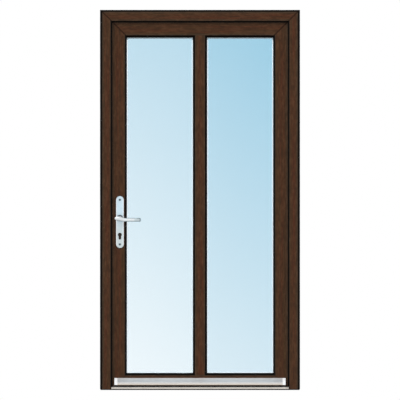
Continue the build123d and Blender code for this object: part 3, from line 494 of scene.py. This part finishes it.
# the plates' pale blue tone is the sky part of their painted reflection
handle_silver = metal("handle_silver", paint(212, 234, 246), paint(172, 190, 200), upright_lines, 1300.0,
                      0.26, shade=plate_painted_light)
lever_silver = metal("lever_silver", paint(238, 241, 242), paint(196, 203, 208), (0.02, 1, 1), 1300.0, 0.24,
                     shade=lever_painted_light)
dress(handle_silver, "plate_outside", "plate_inside")
print("silver finishes", 2)

# %% Steel of the lock and screws
zinc_steel = metal("zinc_steel", paint(196, 198, 194), paint(150, 150, 142), (1, 1, 0.05), 600.0, 0.36,
                   cloud=0.6)
screw_steel = metal("screw_steel", paint(104, 118, 128), paint(56, 62, 68), no_lines, 900.0, 0.34)
dress(zinc_steel, "lock_forend", "lock_case", "latch_bolt", "dead_bolt", "hook_bolts")
dress(zinc_steel, "keep_top", "keep_centre", "keep_bottom", "spindle", "follower")
print("steel finishes", 2)

# %% Key cylinder, hinges and plastics
def cylinder_finish():
    """Dark metal, with a darker ring 6.4 mm round the plug's middle, where the plug turns in its body."""
    made = Finish("cylinder_dark", Metallic=0.5, Specular_IOR_Level=0.3)
    x, y, z = made.axes()
    ring = 1 - abs(apart(x - SPINDLE_X, z - CYLINDER_Z) - 0.0064).over(0.0002, 0.0006)
    turned = made.noise(made.place, 1500.0, 2.0)
    made.set(Base_Color=made.mixed(ring + turned * 0.2, paint(52, 42, 34), paint(16, 12, 10)))
    made.set(Roughness=0.36 + turned * 0.15, Normal=made.bumped(1 - ring, 0.0003))
    return made.material


def paint_finish(name, tone, dark, rough, orange_peel):
    """Even colour with a slow drift, and a fine rippled height as on sprayed or moulded surfaces."""
    made = Finish(name, Specular_IOR_Level=0.3)
    drift = made.noise(made.place, 14.0, 3.0)
    ripple = made.noise(made.place, orange_peel, 2.0)
    made.set(Base_Color=made.mixed(drift.over(0.35, 0.75) * 0.5, tone, dark))
    made.set(Roughness=rough + ripple * 0.12, Normal=made.bumped(ripple, 0.00008, 0.6))
    return made.material


cylinder_dark = cylinder_finish()
hinge_brown = paint_finish("hinge_brown", paint(62, 43, 31), paint(48, 33, 24), 0.42, 800.0)
cap_white = paint_finish("cap_white", paint(252, 252, 252), paint(240, 240, 238), 0.34, 500.0)
base_grey = paint_finish("base_grey", paint(90, 90, 92), paint(70, 70, 72), 0.5, 400.0)
dress(cylinder_dark, "lock_cylinder")
dress(hinge_brown, *[name for name in nodes if name.startswith("hinge_")])
dress(cap_white, "weather_bar_caps")
dress(base_grey, "threshold_base")
print("finishes of cylinder, hinges and plastics", 4)

# %% [markdown]
# ## Surfaces from arrays
# Every new piece is a grid of points, worked out as one array. This helper joins the grid's points into four
# sided faces. The last column is joined back to the first, and so is the last row where a surface needs it.
# Points that meet, such as those at a pole, are merged, and the normals are then turned outwards.

# %% From a grid of points to a piece
def piece(name, grids, material, body, wrap_rows=False, smooth=True):
    """Builds one object from an array of grids, of shape (grids, rows, columns, 3). Face (i, j) of a grid
    joins points (i, j), (i + 1, j), (i + 1, j + 1) and (i, j + 1), and indexes wrap where it closes."""
    grids = np.asarray(grids, float)
    if grids.ndim == 3:
        grids = grids[None]
    count, rows, columns, _ = grids.shape
    i = np.arange(rows if wrap_rows else rows - 1)[:, None]
    j = np.arange(columns)[None, :]
    i2, j2 = (i + 1) % rows, (j + 1) % columns
    corners = (i * columns + j, i2 * columns + j, i2 * columns + j2, i * columns + j2)
    starts = np.arange(count)[:, None, None] * rows * columns
    faces = (np.stack(corners, -1).reshape(1, -1, 4) + starts).reshape(-1, 4)
    mesh = bpy.data.meshes.new(name)
    mesh.from_pydata(grids.reshape(-1, 3).tolist(), [], faces.tolist())
    work = bmesh.new()
    work.from_mesh(mesh)
    bmesh.ops.remove_doubles(work, verts=work.verts, dist=2e-6)
    bmesh.ops.dissolve_degenerate(work, edges=work.edges, dist=1e-7)
    bmesh.ops.recalc_face_normals(work, faces=work.faces)
    work.to_mesh(mesh)
    work.free()
    mesh.polygons.foreach_set("use_smooth", [smooth] * len(mesh.polygons))
    mesh.materials.append(material)
    made = bpy.data.objects.new(name, mesh)
    bpy.context.scene.collection.objects.link(made)
    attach(made, body)
    print(name, "faces", len(mesh.polygons))
    return made


# %% [markdown]
# ## Levers
# A cast lever is smooth all round. Its line leaves the neck, falls through a shallow wave, runs level as the
# grip, and turns towards the door at its end. The CAD lever has flat bevels to stay light, so a smooth one
# takes its place here. It is a rounded section carried along that line, and it closes to a point at each end.

# %% A lever's line
HUB, GRIP, BEND = 0.029, 0.092, 0.020
BEND_TURN = math.radians(80)
LEVER_END = GRIP + BEND * BEND_TURN
LEVER_REACH = 0.052


def eased(value):
    """3v^2 - 2v^3, which goes from 0 to 1 with level ends."""
    share = np.clip(value, 0, 1)
    return share * share * (3 - 2 * share)


def rounded(angle, power):
    """The two parts of a rounded rectangle at each angle: |cos|^power and |sin|^power with their signs."""
    across, up = np.cos(angle), np.sin(angle)
    return np.sign(across) * np.abs(across) ** power, np.sign(up) * np.abs(up) ** power


def bulged(value):
    """sqrt(1 - (1 - v)^2), a quarter of a circle, which goes from 0 to 1 and ends level."""
    return np.sqrt(np.clip(1 - (1 - np.clip(value, 0, 1)) ** 2, 0, 1))


print("lever's line is", round(HUB + LEVER_END, 4), "m long")

# %% A lever's section
def lever_grid(outward):
    """Along s the line is x = s, z = rise - drop * eased, and past the grip it is an arc towards the door.
    Round it, a point is a times |cos|^p and b times |sin|^p with their signs, which is a rounded rectangle.
    Both halves a and b swell at the hub, and shrink to nothing at the ends as a quarter circle does."""
    share = np.linspace(0, 1, 121)
    s = -HUB + (LEVER_END + HUB) * (0.5 - 0.5 * np.cos(np.pi * share))
    turn = np.clip((s - GRIP) / BEND, 0, BEND_TURN)
    x = np.minimum(s, GRIP) + BEND * np.sin(turn)
    inwards = BEND * (1 - np.cos(turn))
    z = -0.0015 - 0.008 * eased((s + 0.012) / 0.044)
    closing = bulged((s + HUB) / 0.014) * bulged((LEVER_END - s) / 0.0035)
    swell = np.exp(-((s + 0.001) / 0.017) ** 2)
    half_deep = (0.0058 + 0.0016 * swell) * closing
    half_high = (0.0102 + 0.0012 * swell) * closing
    across, up = rounded(np.linspace(0, 2 * np.pi, 48, endpoint=False), 0.72)
    side_x = -np.sin(turn)[:, None] * across * half_deep[:, None]
    side_y = np.cos(turn)[:, None] * across * half_deep[:, None]
    face = FACES[outward] + outward * LEVER_REACH
    points = np.empty((*side_x.shape, 3))
    points[..., 0] = SPINDLE_X + x[:, None] + side_x
    points[..., 1] = face - outward * (inwards[:, None] + side_y)
    points[..., 2] = SPINDLE_Z + z[:, None] + up * half_high[:, None]
    return points


lever_size = np.ptp(lever_grid(-1), axis=(0, 1))
print("lever's width, depth and height", lever_size.round(4).tolist())

# %% A lever's neck, and both levers
def neck_grid(outward):
    """A turned shape: at each distance from the leaf the radius is 8.9 mm, flared by 2.6 mm times the cube
    of the way to the lever. The first and last rows shrink to the middle and close it."""
    near = FACES[outward] + outward * 0.001
    far = near + outward * LEVER_REACH
    share = np.linspace(0, 1, 33)
    radius = 0.0089 + 0.0026 * np.clip(share * 1.25 - 0.25, 0, 1) ** 3
    radius = np.concatenate([[0], radius, [0]])
    y = near + (far - near) * np.concatenate([[0], share, [1]])
    angle = np.linspace(0, 2 * np.pi, 48, endpoint=False)
    points = np.empty((len(y), len(angle), 3))
    points[..., 0] = SPINDLE_X + radius[:, None] * np.cos(angle)
    points[..., 1] = y[:, None]
    points[..., 2] = SPINDLE_Z + radius[:, None] * np.sin(angle)
    return points


for side, outward in SIDES:
    bar = piece(f"lever_bar_{side}", lever_grid(outward), lever_silver, "handle")
    piece(f"lever_neck_{side}", neck_grid(outward), lever_silver, "handle")
    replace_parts(bar, f"lever_{side}")

# %% [markdown]
# ## Screw heads
# Screws hold the plates, the hinges, the lock's forend and the keeps. A countersunk head is a shallow dome
# with a cross cut into it. Both are one height formula of the place on the head, so a screw is a disc shaped
# grid whose points are pushed along its axis, and a whole row of screws is one array of such grids.

# %% A row of screws
def screw_grids(centres, facing, radius, turns):
    """Height over the rim is 0.2 r times 1 - (d / r)^2, and inside a cross, whose arms are 0.13 r half wide
    and 0.62 r long, it is level with the rim. The back is closed 0.3 r behind the face."""
    centres = np.asarray(centres, float)
    share = np.concatenate([np.linspace(0, 1, 15), [1.0, 0.0]])
    angle = np.linspace(0, 2 * np.pi, 40, endpoint=False)
    across = share[:, None] * np.cos(angle)
    up = share[:, None] * np.sin(angle)
    arm = np.minimum(np.abs(across), np.abs(up)) < 0.13
    cross = arm & (share[:, None] < 0.62)
    height = np.where(cross, 0.01, 0.2 * (1 - share[:, None] ** 2) + 0.01)
    height[-2:] = -0.3
    facing = np.asarray(facing, float)
    first = np.cross(facing, (0.0, 0.0, 1.0))
    second = np.cross(facing, first)
    spin = np.asarray(turns, float)[:, None, None]
    a = across * np.cos(spin) - up * np.sin(spin)
    b = across * np.sin(spin) + up * np.cos(spin)
    flat = a[..., None] * first + b[..., None] * second
    raised = height[..., None] * facing
    return centres[:, None, None, :] + radius * (flat + raised)


def screws(name, centres, facing, radius, body, seed, finish=screw_steel):
    """One piece that holds a row of screws, each turned by its own angle."""
    turns = np.random.default_rng(seed).uniform(0, np.pi / 2, len(centres))
    grids = screw_grids(centres, facing, radius, turns)
    return piece(name, grids, finish, body, smooth=False)


one_head = screw_grids([(0, 0, 0)], (0, 1, 0), 1.0, [0])
print("a screw head has", one_head.shape[1], "rows of", one_head.shape[2], "points")

# %% Screws of the plates and the forend
plate_levels = (PLATE_MIDDLE - PLATE_SCREW, PLATE_MIDDLE + PLATE_SCREW)
sunk, plate_head, lock_head = 0.0014, 0.0041, 0.0036
for seed, (side, way) in enumerate(SIDES, 1):
    face = FACES[way] + way * (PLATE_DEPTH - sunk)
    spots = [(SPINDLE_X, face, level) for level in plate_levels]
    screws(f"plate_screws_{side}", spots, (0, way, 0), plate_head, "leaf", seed)
forend_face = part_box("lock_forend")[0].x
forend_levels = (0.15, 0.31, 0.45, 0.6, 0.76, 0.84, 1.02, 1.18, 1.36, 1.54, 1.64, 1.75, 1.92)
forend = [(forend_face, LOCK_LINE, level) for level in forend_levels]
screws("forend_screws", forend, (-1, 0, 0), lock_head, "leaf", 3)

# %% Screws of the keeps and hinges
keep_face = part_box("keep_centre")[1].x
keep_boxes = [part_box("keep_" + name) for name in ("bottom", "centre", "top")]
from_end = 0.009
keep_levels = [level for low, high in keep_boxes for level in (low.z + from_end, high.z - from_end)]
keeps = [(keep_face, LOCK_LINE, level) for level in keep_levels]
screws("keep_screws", keeps, (1, 0, 0), lock_head, "frame", 4)
hinge_names = ("bottom", "middle", "top")
hinge_plates = [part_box("hinge_leaf_" + name) for name in hinge_names]
hinge_face = LEAF_BACK + 0.005
hinge_spots = [(low.x + across, hinge_face, (low.z + high.z) / 2 + up)
               for low, high in hinge_plates for across in (0.013, 0.033) for up in (-0.034, 0.0, 0.034)]
screw_bronze = metal("screw_bronze", paint(92, 74, 60), paint(50, 38, 28), no_lines, 900.0, 0.4,
                     metallic=0.6)
screws("hinge_screws", hinge_spots, (0, 1, 0), 0.0042, "leaf", 5, screw_bronze)

# %% [markdown]
# ## Collars round the key cylinder
# The hole in each plate is a little larger than the cylinder. A thin black collar fills the joint and
# stands for the shade in it, and keeps out the light that would show all the way through.

# %% Collars
def cylinder_outline(offset, angle):
    """How far the cylinder's edge is from its round part's middle at each angle from straight down: the
    round part's radius, or the web's side or round end where that is further. Each grows by an offset."""
    radius, half, drop = 0.0085 + offset, 0.005 + offset, WEB_DROP
    side = half / np.maximum(np.abs(np.sin(angle)), 1e-6)
    end = drop * np.cos(angle) + np.sqrt(np.maximum(half ** 2 - (drop * np.sin(angle)) ** 2, 0))
    web = np.where(np.cos(angle) > 0, np.minimum(side, np.where(end > drop * 0.98, end, side)), 0)
    return np.maximum(radius, np.minimum(web, drop + half))


def collar_grid(front, back):
    """Four rows: the inner edge and the outer edge at the front, then the outer and inner edges behind."""
    angle = np.linspace(-np.pi, np.pi, 144, endpoint=False)
    offsets = (-0.0004, 0.0013, 0.0013, -0.0004)
    reach = np.stack([cylinder_outline(offset, angle) for offset in offsets])
    level = np.array([front, front, back, back])[:, None]
    x, z = SPINDLE_X + reach * np.sin(angle), CYLINDER_Z - reach * np.cos(angle)
    return np.stack([x, np.broadcast_to(level, x.shape), z], -1)


far, near = 0.0062, 0.003
collars = [collar_grid(FACES[way] + way * far, FACES[way] + way * near) for side, way in SIDES]
# the black collars are painted shade in the joint round the cylinder
piece("cylinder_collars", collars, sealant_black, "leaf", wrap_rows=True, smooth=False)

# %% [markdown]
# ## Hinge caps
# The hinge's pin is covered at each end by a small domed cap. It is a turned shape: a short straight rim, a
# fine groove, and a dome.

# %% Caps on the hinges
def cap_grids(centres, ways, radius, height):
    """Radius follows cos of the way up the dome, height follows sin, after a rim with a groove in it."""
    rise = np.linspace(0, np.pi / 2, 12)
    radii = np.concatenate([[0, 1, 1, 0.94, 0.94, 1], np.cos(rise)])
    levels = np.concatenate([[0, 0, 0.12, 0.16, 0.26, 0.3], 0.3 + 0.7 * np.sin(rise)])
    angle = np.linspace(0, 2 * np.pi, 40, endpoint=False)
    circle = np.stack([np.cos(angle), np.sin(angle), np.zeros_like(angle)], -1)
    shape = radius * radii[:, None, None] * circle
    shape = np.repeat(shape[None], len(centres), 0)
    shape[..., 2] += np.asarray(ways, float)[:, None, None] * height * levels[:, None]
    return np.asarray(centres, float)[:, None, None, :] + shape


pin_x, pin_y = frame["joints"][0]["pos_m"][0], LEAF_BACK + 0.0055
barrels = [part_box("hinge_frame_" + name) for name in hinge_names]
ends = [((pin_x, pin_y, low.z), -1) for low, high in barrels]
ends += [((pin_x, pin_y, high.z), 1) for low, high in barrels]
cap_radius, cap_height = 0.0098, 0.0045
caps = cap_grids([spot for spot, way in ends], [way for spot, way in ends], cap_radius, cap_height)
piece("hinge_caps", caps, hinge_brown, "frame")

# %% [markdown]
# ## Foam seal round the frame
# The seal between frame and wall is a strip of foam tape. Squeezed foam bulges between its faces and is
# never quite even, so the strip's section is a swollen rectangle whose bulge changes slowly along it.

# %% Foam strips
def foam_grid(low, high, axis, out, swell, seed):
    """Round a strip a point is (a |cos|^p, b |sin|^p) of its half sizes. On the side that faces out, it also
    swells, less up to 0.4 mm in slow waves along the strip. The ends close flat."""
    low, high = np.asarray(low, float), np.asarray(high, float)
    across = 0 if axis == 2 else 2
    wave = np.random.default_rng(seed).uniform(0, 2 * np.pi, 3)
    share = np.linspace(0, 1, 161)
    dent = sum(np.sin(2 * np.pi * share * n + w) for n, w in zip((7, 17, 41), wave)) / 3
    dent = 0.0002 * (1 - dent) - swell
    whole = np.concatenate([[0], np.ones(161), [0]])[:, None]
    dent = np.concatenate([[0], dent, [0]])[:, None]
    share = np.concatenate([[0], share, [1]])[:, None]
    angle = np.linspace(0, 2 * np.pi, 32, endpoint=False)
    a, b = rounded(angle, 0.12)
    middle, half = (low + high) / 2, (high - low) / 2
    points = np.empty((len(share), len(angle), 3))
    points[..., axis] = low[axis] + (high - low)[axis] * share
    points[..., across] = middle[across] + half[across] * whole * a - out * dent * (a * out > 0)
    points[..., 1] = middle[1] + half[1] * whole * b
    return points


past_end = 0.0024
strips = (("seal_lock_side", 2, -1, 0.0026), ("seal_hinge_side", 2, 1, 0.0026), ("seal_head", 0, 1, 0.0006))
for seed, (node, axis, out, swell) in enumerate(strips):
    low, high = np.array(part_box(node))
    longer = np.array((past_end, 0, 0)) * (axis == 0)
    grid = foam_grid(low - longer, high + longer, axis, out, swell, seed)
    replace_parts(piece(node + "_foam", grid, foam_black, "frame"), node)

# %% [markdown]
# ## Gaskets and spacers
# Rubber gaskets seal the glass on both sides, and the leaf against the frame. Each is an extruded section,
# cut at 45 degrees at the corners. So a section is drawn once as points (out, y), and one function carries
# it round an opening. It goes right round, or up one side, over the top and down the other.

# %% A section carried round an opening
def around(section, left, right, foot, top, whole=True):
    """At each corner a section's point moves outwards by out along both sides, which makes the mitres. A
    length that isn't whole stands on its foot, and its ends close flat."""
    out, y = np.asarray(section, float).T
    down = -1 if whole else 0
    corners = np.array([(left, foot), (left, top), (right, top), (right, foot)])
    ways = np.array([(-1, down), (-1, 1), (1, 1), (1, down)])
    x = corners[:, :1] + ways[:, :1] * out
    z = corners[:, 1:] + ways[:, 1:] * out
    points = np.stack([x, np.broadcast_to(y, x.shape), z], -1)
    if whole:
        return points
    ends = np.broadcast_to(points[[0, -1]].mean(1, keepdims=True), points[[0, -1]].shape)
    return np.concatenate([ends[:1], points, ends[1:]])


def lip(inwards, seat, rise, foot, thick):
    """A gasket's section. Its lip is a quarter of an ellipse, from the tip at (-inwards, seat) to (0, seat -
    rise), and behind the edge it is a flat foot that is thick."""
    turn = np.linspace(0, np.pi / 2, 12)
    curve = np.stack([-inwards * np.cos(turn), seat - rise * np.sin(turn)], -1)
    back = [(0, seat - thick), (foot, seat - thick), (foot, seat), (-inwards, seat)]
    return np.concatenate([curve, back])


tip = lip(0.0100, 0.01645, 0.009, 0.006, 0.0038)
print("points in a gasket's section", len(tip))

# %% Gaskets round the glass
openings = [(-GLASS_SIDE, -EDGE, GLASS_FOOT, GLASS_TOP), (EDGE, GLASS_SIDE, GLASS_FOOT, GLASS_TOP)]
sights = [(-SIGHT_SIDE, -EDGE, SIGHT_FOOT, SIGHT_TOP), (EDGE, SIGHT_SIDE, SIGHT_FOOT, SIGHT_TOP)]
lips = [around(tip, *sight) for sight in sights]
outer_lips = piece("gasket_lips_outer", lips, gasket_black, "leaf", wrap_rows=True)
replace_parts(outer_lips, "gaskets_outer")
inside_tip = lip(0.0062, -0.0407, 0.0031, 0.010, 0.003) * (1, -1)
lips = [around(inside_tip, *opening) for opening in openings]
inner_lips = piece("gasket_lips_inner", lips, gasket_black, "leaf", wrap_rows=True)
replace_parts(inner_lips, "gaskets_inner")

# %% Spacer between the panes
def spacer_finish():
    """White at the lock side, which faces the light, a little grey elsewhere, and greyer under the top rail:
    this is painted light and shade, and the bar also glows in that tone as painted light, for the light that
    doesn't reach it through the glass. A row of fine holes every 6 mm runs along the middle of the face that
    looks into the gap, and in them is the grey of the drying grains."""
    made = Finish("spacer_white", Roughness=0.45, Specular_IOR_Level=0.3)
    x, y, z = made.axes()
    holes = abs(y - sum(CAVITY) / 2) < 0.0006
    along = ((x + z) * (2 * math.pi / 0.006)).sine()
    cloud = made.noise(made.place, 60.0, 2.0)
    tone = made.mixed(cloud * 0.3, paint(254, 254, 254), paint(244, 247, 249))
    # painted shade: greyer away from the lock side and under the top rail
    tone = made.mixed((x > 0.03 - GLASS_SIDE) * 0.3, tone, paint(188, 206, 216))
    tone = made.mixed(z.over(GLASS_TOP - 0.03, GLASS_TOP - 0.02) * 0.8, tone, paint(92, 106, 112))
    made.set(Base_Color=made.mixed(holes * (along > 0.4), tone, paint(120, 122, 124)))
    # painted light: the spacer glows in its own tone
    made.set(Roughness=0.4 + cloud * 0.1, Emission_Color=tone, Emission_Strength=0.55)
    return made.material


front, back, rim = CAVITY[0] + 0.0002, CAVITY[1] - 0.0002, -0.002
spacer_section = [(-SPACER_REACH, front + 0.0004), (0.0003 - SPACER_REACH, front), (rim, front),
                  (rim, back), (0.0003 - SPACER_REACH, back), (-SPACER_REACH, back - 0.0004)]
bars = [around(spacer_section, *sight) for sight in sights]
spacers = piece("spacer_bars", bars, spacer_finish(), "leaf", wrap_rows=True, smooth=False)
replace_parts(spacers, "glass_spacers")

# %% Gasket on the frame's lip
frame_low, frame_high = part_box("frame_gasket")
lip_side, lip_top = frame_high.x - 0.002, frame_high.z - 0.007
lip_section = lip(0.0098, frame_high.y, 0.0042, 0.007, 0.0031)
lip_path = around(lip_section, -lip_side, lip_side, frame_low.z, lip_top, whole=False)
frame_lip = piece("frame_gasket_lip", lip_path, gasket_black, "frame")
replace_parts(frame_lip, "frame_gasket")

# %% Bulb gasket on the leaf's inner leg
bulb_low, bulb_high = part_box("leaf_gasket")
angle = np.linspace(0, 2 * np.pi, 36, endpoint=False)
wide = 0.0070 + 0.0066 * np.cos(angle) * (1 - 0.25 * (np.sin(angle) < 0) * np.sin(angle) ** 2)
deep = bulb_high.y - 0.0016 + 0.0016 * rounded(angle, 0.8)[1]
side, head = bulb_high.x - 0.014, bulb_high.z - 0.014
bulb_path = around(np.stack([wide, deep], -1), -side, side, bulb_low.z, head, whole=False)
bulb = piece("leaf_gasket_bulb", bulb_path, gasket_black, "leaf")
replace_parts(bulb, "leaf_gasket")

# %% [markdown]
# ## Brush under the leaf
# The brush is a row of bristle tufts. Each tuft is a small cone that is wider at its foot, with an oval
# section and its own lean, and there are some hundreds of them, so each has only a few faces. A thin plastic
# fin stands along the middle of the bristles and keeps out the draught and the light.

# %% Bristle tufts
def tuft_grids(low, high, pitch, seed):
    """Tuft n stands at x = low + n pitch in one of three rows. Its rows of points go from top to foot with
    the radius growing from 0.6 to 1 of its size, and a lean that grows with the square of the way down."""
    chance = np.random.default_rng(seed)
    count = int((high.x - low.x - pitch) / pitch)
    n = np.arange(count)
    x = low.x + pitch * (n + 1)
    y = (low.y + high.y) / 2 + 0.0026 * (n % 3 - 1) + chance.uniform(-0.0004, 0.0004, count)
    foot = low.z - 0.0004 + chance.uniform(0, 0.0004, count)
    way = np.array([0, 0, 0.5, 1, 1])[:, None]
    size = np.array([0, 0.6, 0.8, 1, 0])[:, None]
    angle = np.linspace(0, 2 * np.pi, 6, endpoint=False)
    lean = chance.uniform(-0.0008, 0.0008, (count, 1, 1)) * way ** 2
    points = np.empty((count, 5, 6, 3))
    points[..., 0] = x[:, None, None] + lean + size * 0.0017 * np.cos(angle)
    points[..., 1] = y[:, None, None] + size * 0.0015 * np.sin(angle)
    points[..., 2] = high.z + (foot - high.z)[:, None, None] * way
    return points


def bristle_finish():
    """Dark brown-black, streaked up and down at the width of a bristle."""
    made = Finish("bristle_black", Specular_IOR_Level=0.2)
    hairs = made.noise(made.stretched((1, 1, 0.1)), 4200.0, 2.0)
    made.set(Base_Color=made.mixed(hairs.over(0.35, 0.7), paint(14, 12, 11), paint(48, 44, 40)))
    made.set(Roughness=0.6 + hairs * 0.2, Normal=made.bumped(hairs, 0.0003))
    return made.material


bristle_black = bristle_finish()
brush_low, brush_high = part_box("brush_seal")
tufts = tuft_grids(brush_low, brush_high, 0.0016, 8)
brush = piece("brush_tufts", tufts, bristle_black, "leaf")
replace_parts(brush, "brush_seal")

# %% Fin behind the bristles
def fin_grid(low, high, half, below):
    """A thin plate in the brush's middle. The first and last rows lie on its middle line and close it."""
    x = np.array([low.x, low.x, high.x, high.x])[:, None]
    y = (low.y + high.y) / 2 + half * np.array([0, 1, 1, 0])[:, None] * np.array([-1, 1, 1, -1])
    z = low.z - below + (high.z - low.z + below) * np.array([0, 0, 1, 1])
    return np.stack(np.broadcast_arrays(x, y, z), -1)


fin = fin_grid(brush_low, brush_high, 0.0002, 0.0003)
piece("brush_fin", fin, bristle_black, "leaf", smooth=False)

# %% [markdown]
# ## Floor, light and camera
# The photograph is a catalogue picture: white all round and lit evenly, seen straight from the front with no
# perspective. The world is white to the camera and in reflections, and lights the door at a plain level. One
# soft sun from the upper left gives the edges their light and shade.

# %% Floor
floor_mesh = bpy.data.meshes.new("floor")
floor_corners = np.array([(-9, -9, 0), (9, -9, 0), (9, 9, 0), (-9, 9, 0)], float)
floor_mesh.from_pydata(floor_corners.tolist(), [], [(0, 1, 2, 3)])
floor = bpy.data.objects.new("floor", floor_mesh)
bpy.context.scene.collection.objects.link(floor)
floor_finish = Finish("floor_pale", Roughness=0.9, Specular_IOR_Level=0.0)
dust = floor_finish.noise(floor_finish.place, 3.0, 3.0)
floor_finish.set(Base_Color=floor_finish.mixed(dust * 0.3, paint(246, 246, 246), paint(240, 240, 239)))
seen = floor_finish.node("ShaderNodeLightPath", out="Is Camera Ray")
paths = seen.socket.node.outputs
seen = seen + Wire(floor_finish, paths["Is Transmission Ray"]) + Wire(floor_finish, paths["Is Glossy Ray"])
glow = floor_finish.mixed(seen, (0.0, 0.0, 0.0, 1.0), (0.13, 0.13, 0.13, 1.0))
floor_finish.set(Emission_Color=glow, Emission_Strength=1.0)
floor_mesh.materials.append(floor_finish.material)
print("floor", floor_mesh.materials[0].name)

# %% Sky
world = bpy.data.worlds.new("studio")
bpy.context.scene.world = world
world.use_nodes = True
studio = world.node_tree
studio.nodes.clear()
rays = studio.nodes.new("ShaderNodeLightPath")
chosen = studio.nodes.new("ShaderNodeMixShader")
sky = studio.nodes.new("ShaderNodeOutputWorld")
white_to_rays = rays.outputs["Is Camera Ray"]
for kind in ("Is Glossy Ray", "Is Transmission Ray"):
    either = studio.nodes.new("ShaderNodeMath")
    either.operation = "MAXIMUM"
    studio.links.new(white_to_rays, either.inputs[0])
    studio.links.new(rays.outputs[kind], either.inputs[1])
    white_to_rays = either.outputs[0]
for socket, colour, strength in ((1, (0.96, 0.98, 1.0, 1.0), 0.72), (2, (1.0, 1.0, 1.0, 1.0), 1.0)):
    light = studio.nodes.new("ShaderNodeBackground")
    light.inputs["Color"].default_value = colour
    light.inputs["Strength"].default_value = strength
    studio.links.new(light.outputs[0], chosen.inputs[socket])
studio.links.new(white_to_rays, chosen.inputs[0])
studio.links.new(chosen.outputs[0], sky.inputs["Surface"])
print("sky", world.name)

# %% Sun
sun_light = bpy.data.lights.new("sun", "SUN")
sun_light.energy = 1.25
sun_light.angle = math.radians(12)
sun = bpy.data.objects.new("sun", sun_light)
sun.rotation_euler = (math.radians(52), 0, math.radians(-24))
bpy.context.scene.collection.objects.link(sun)
print("light", sun.name)

# %% Camera
view = bpy.data.cameras.new("front")
view.type = "ORTHO"
view.ortho_scale = 2.2105
view.clip_end = 50
camera = bpy.data.objects.new("front", view)
camera.location = (0, -6, 1.05)
camera.rotation_euler = (math.pi / 2, 0, 0)
bpy.context.scene.collection.objects.link(camera)
bpy.context.scene.camera = camera
bpy.context.scene.view_settings.view_transform = "Standard"
print("camera spans", view.ortho_scale, "m")
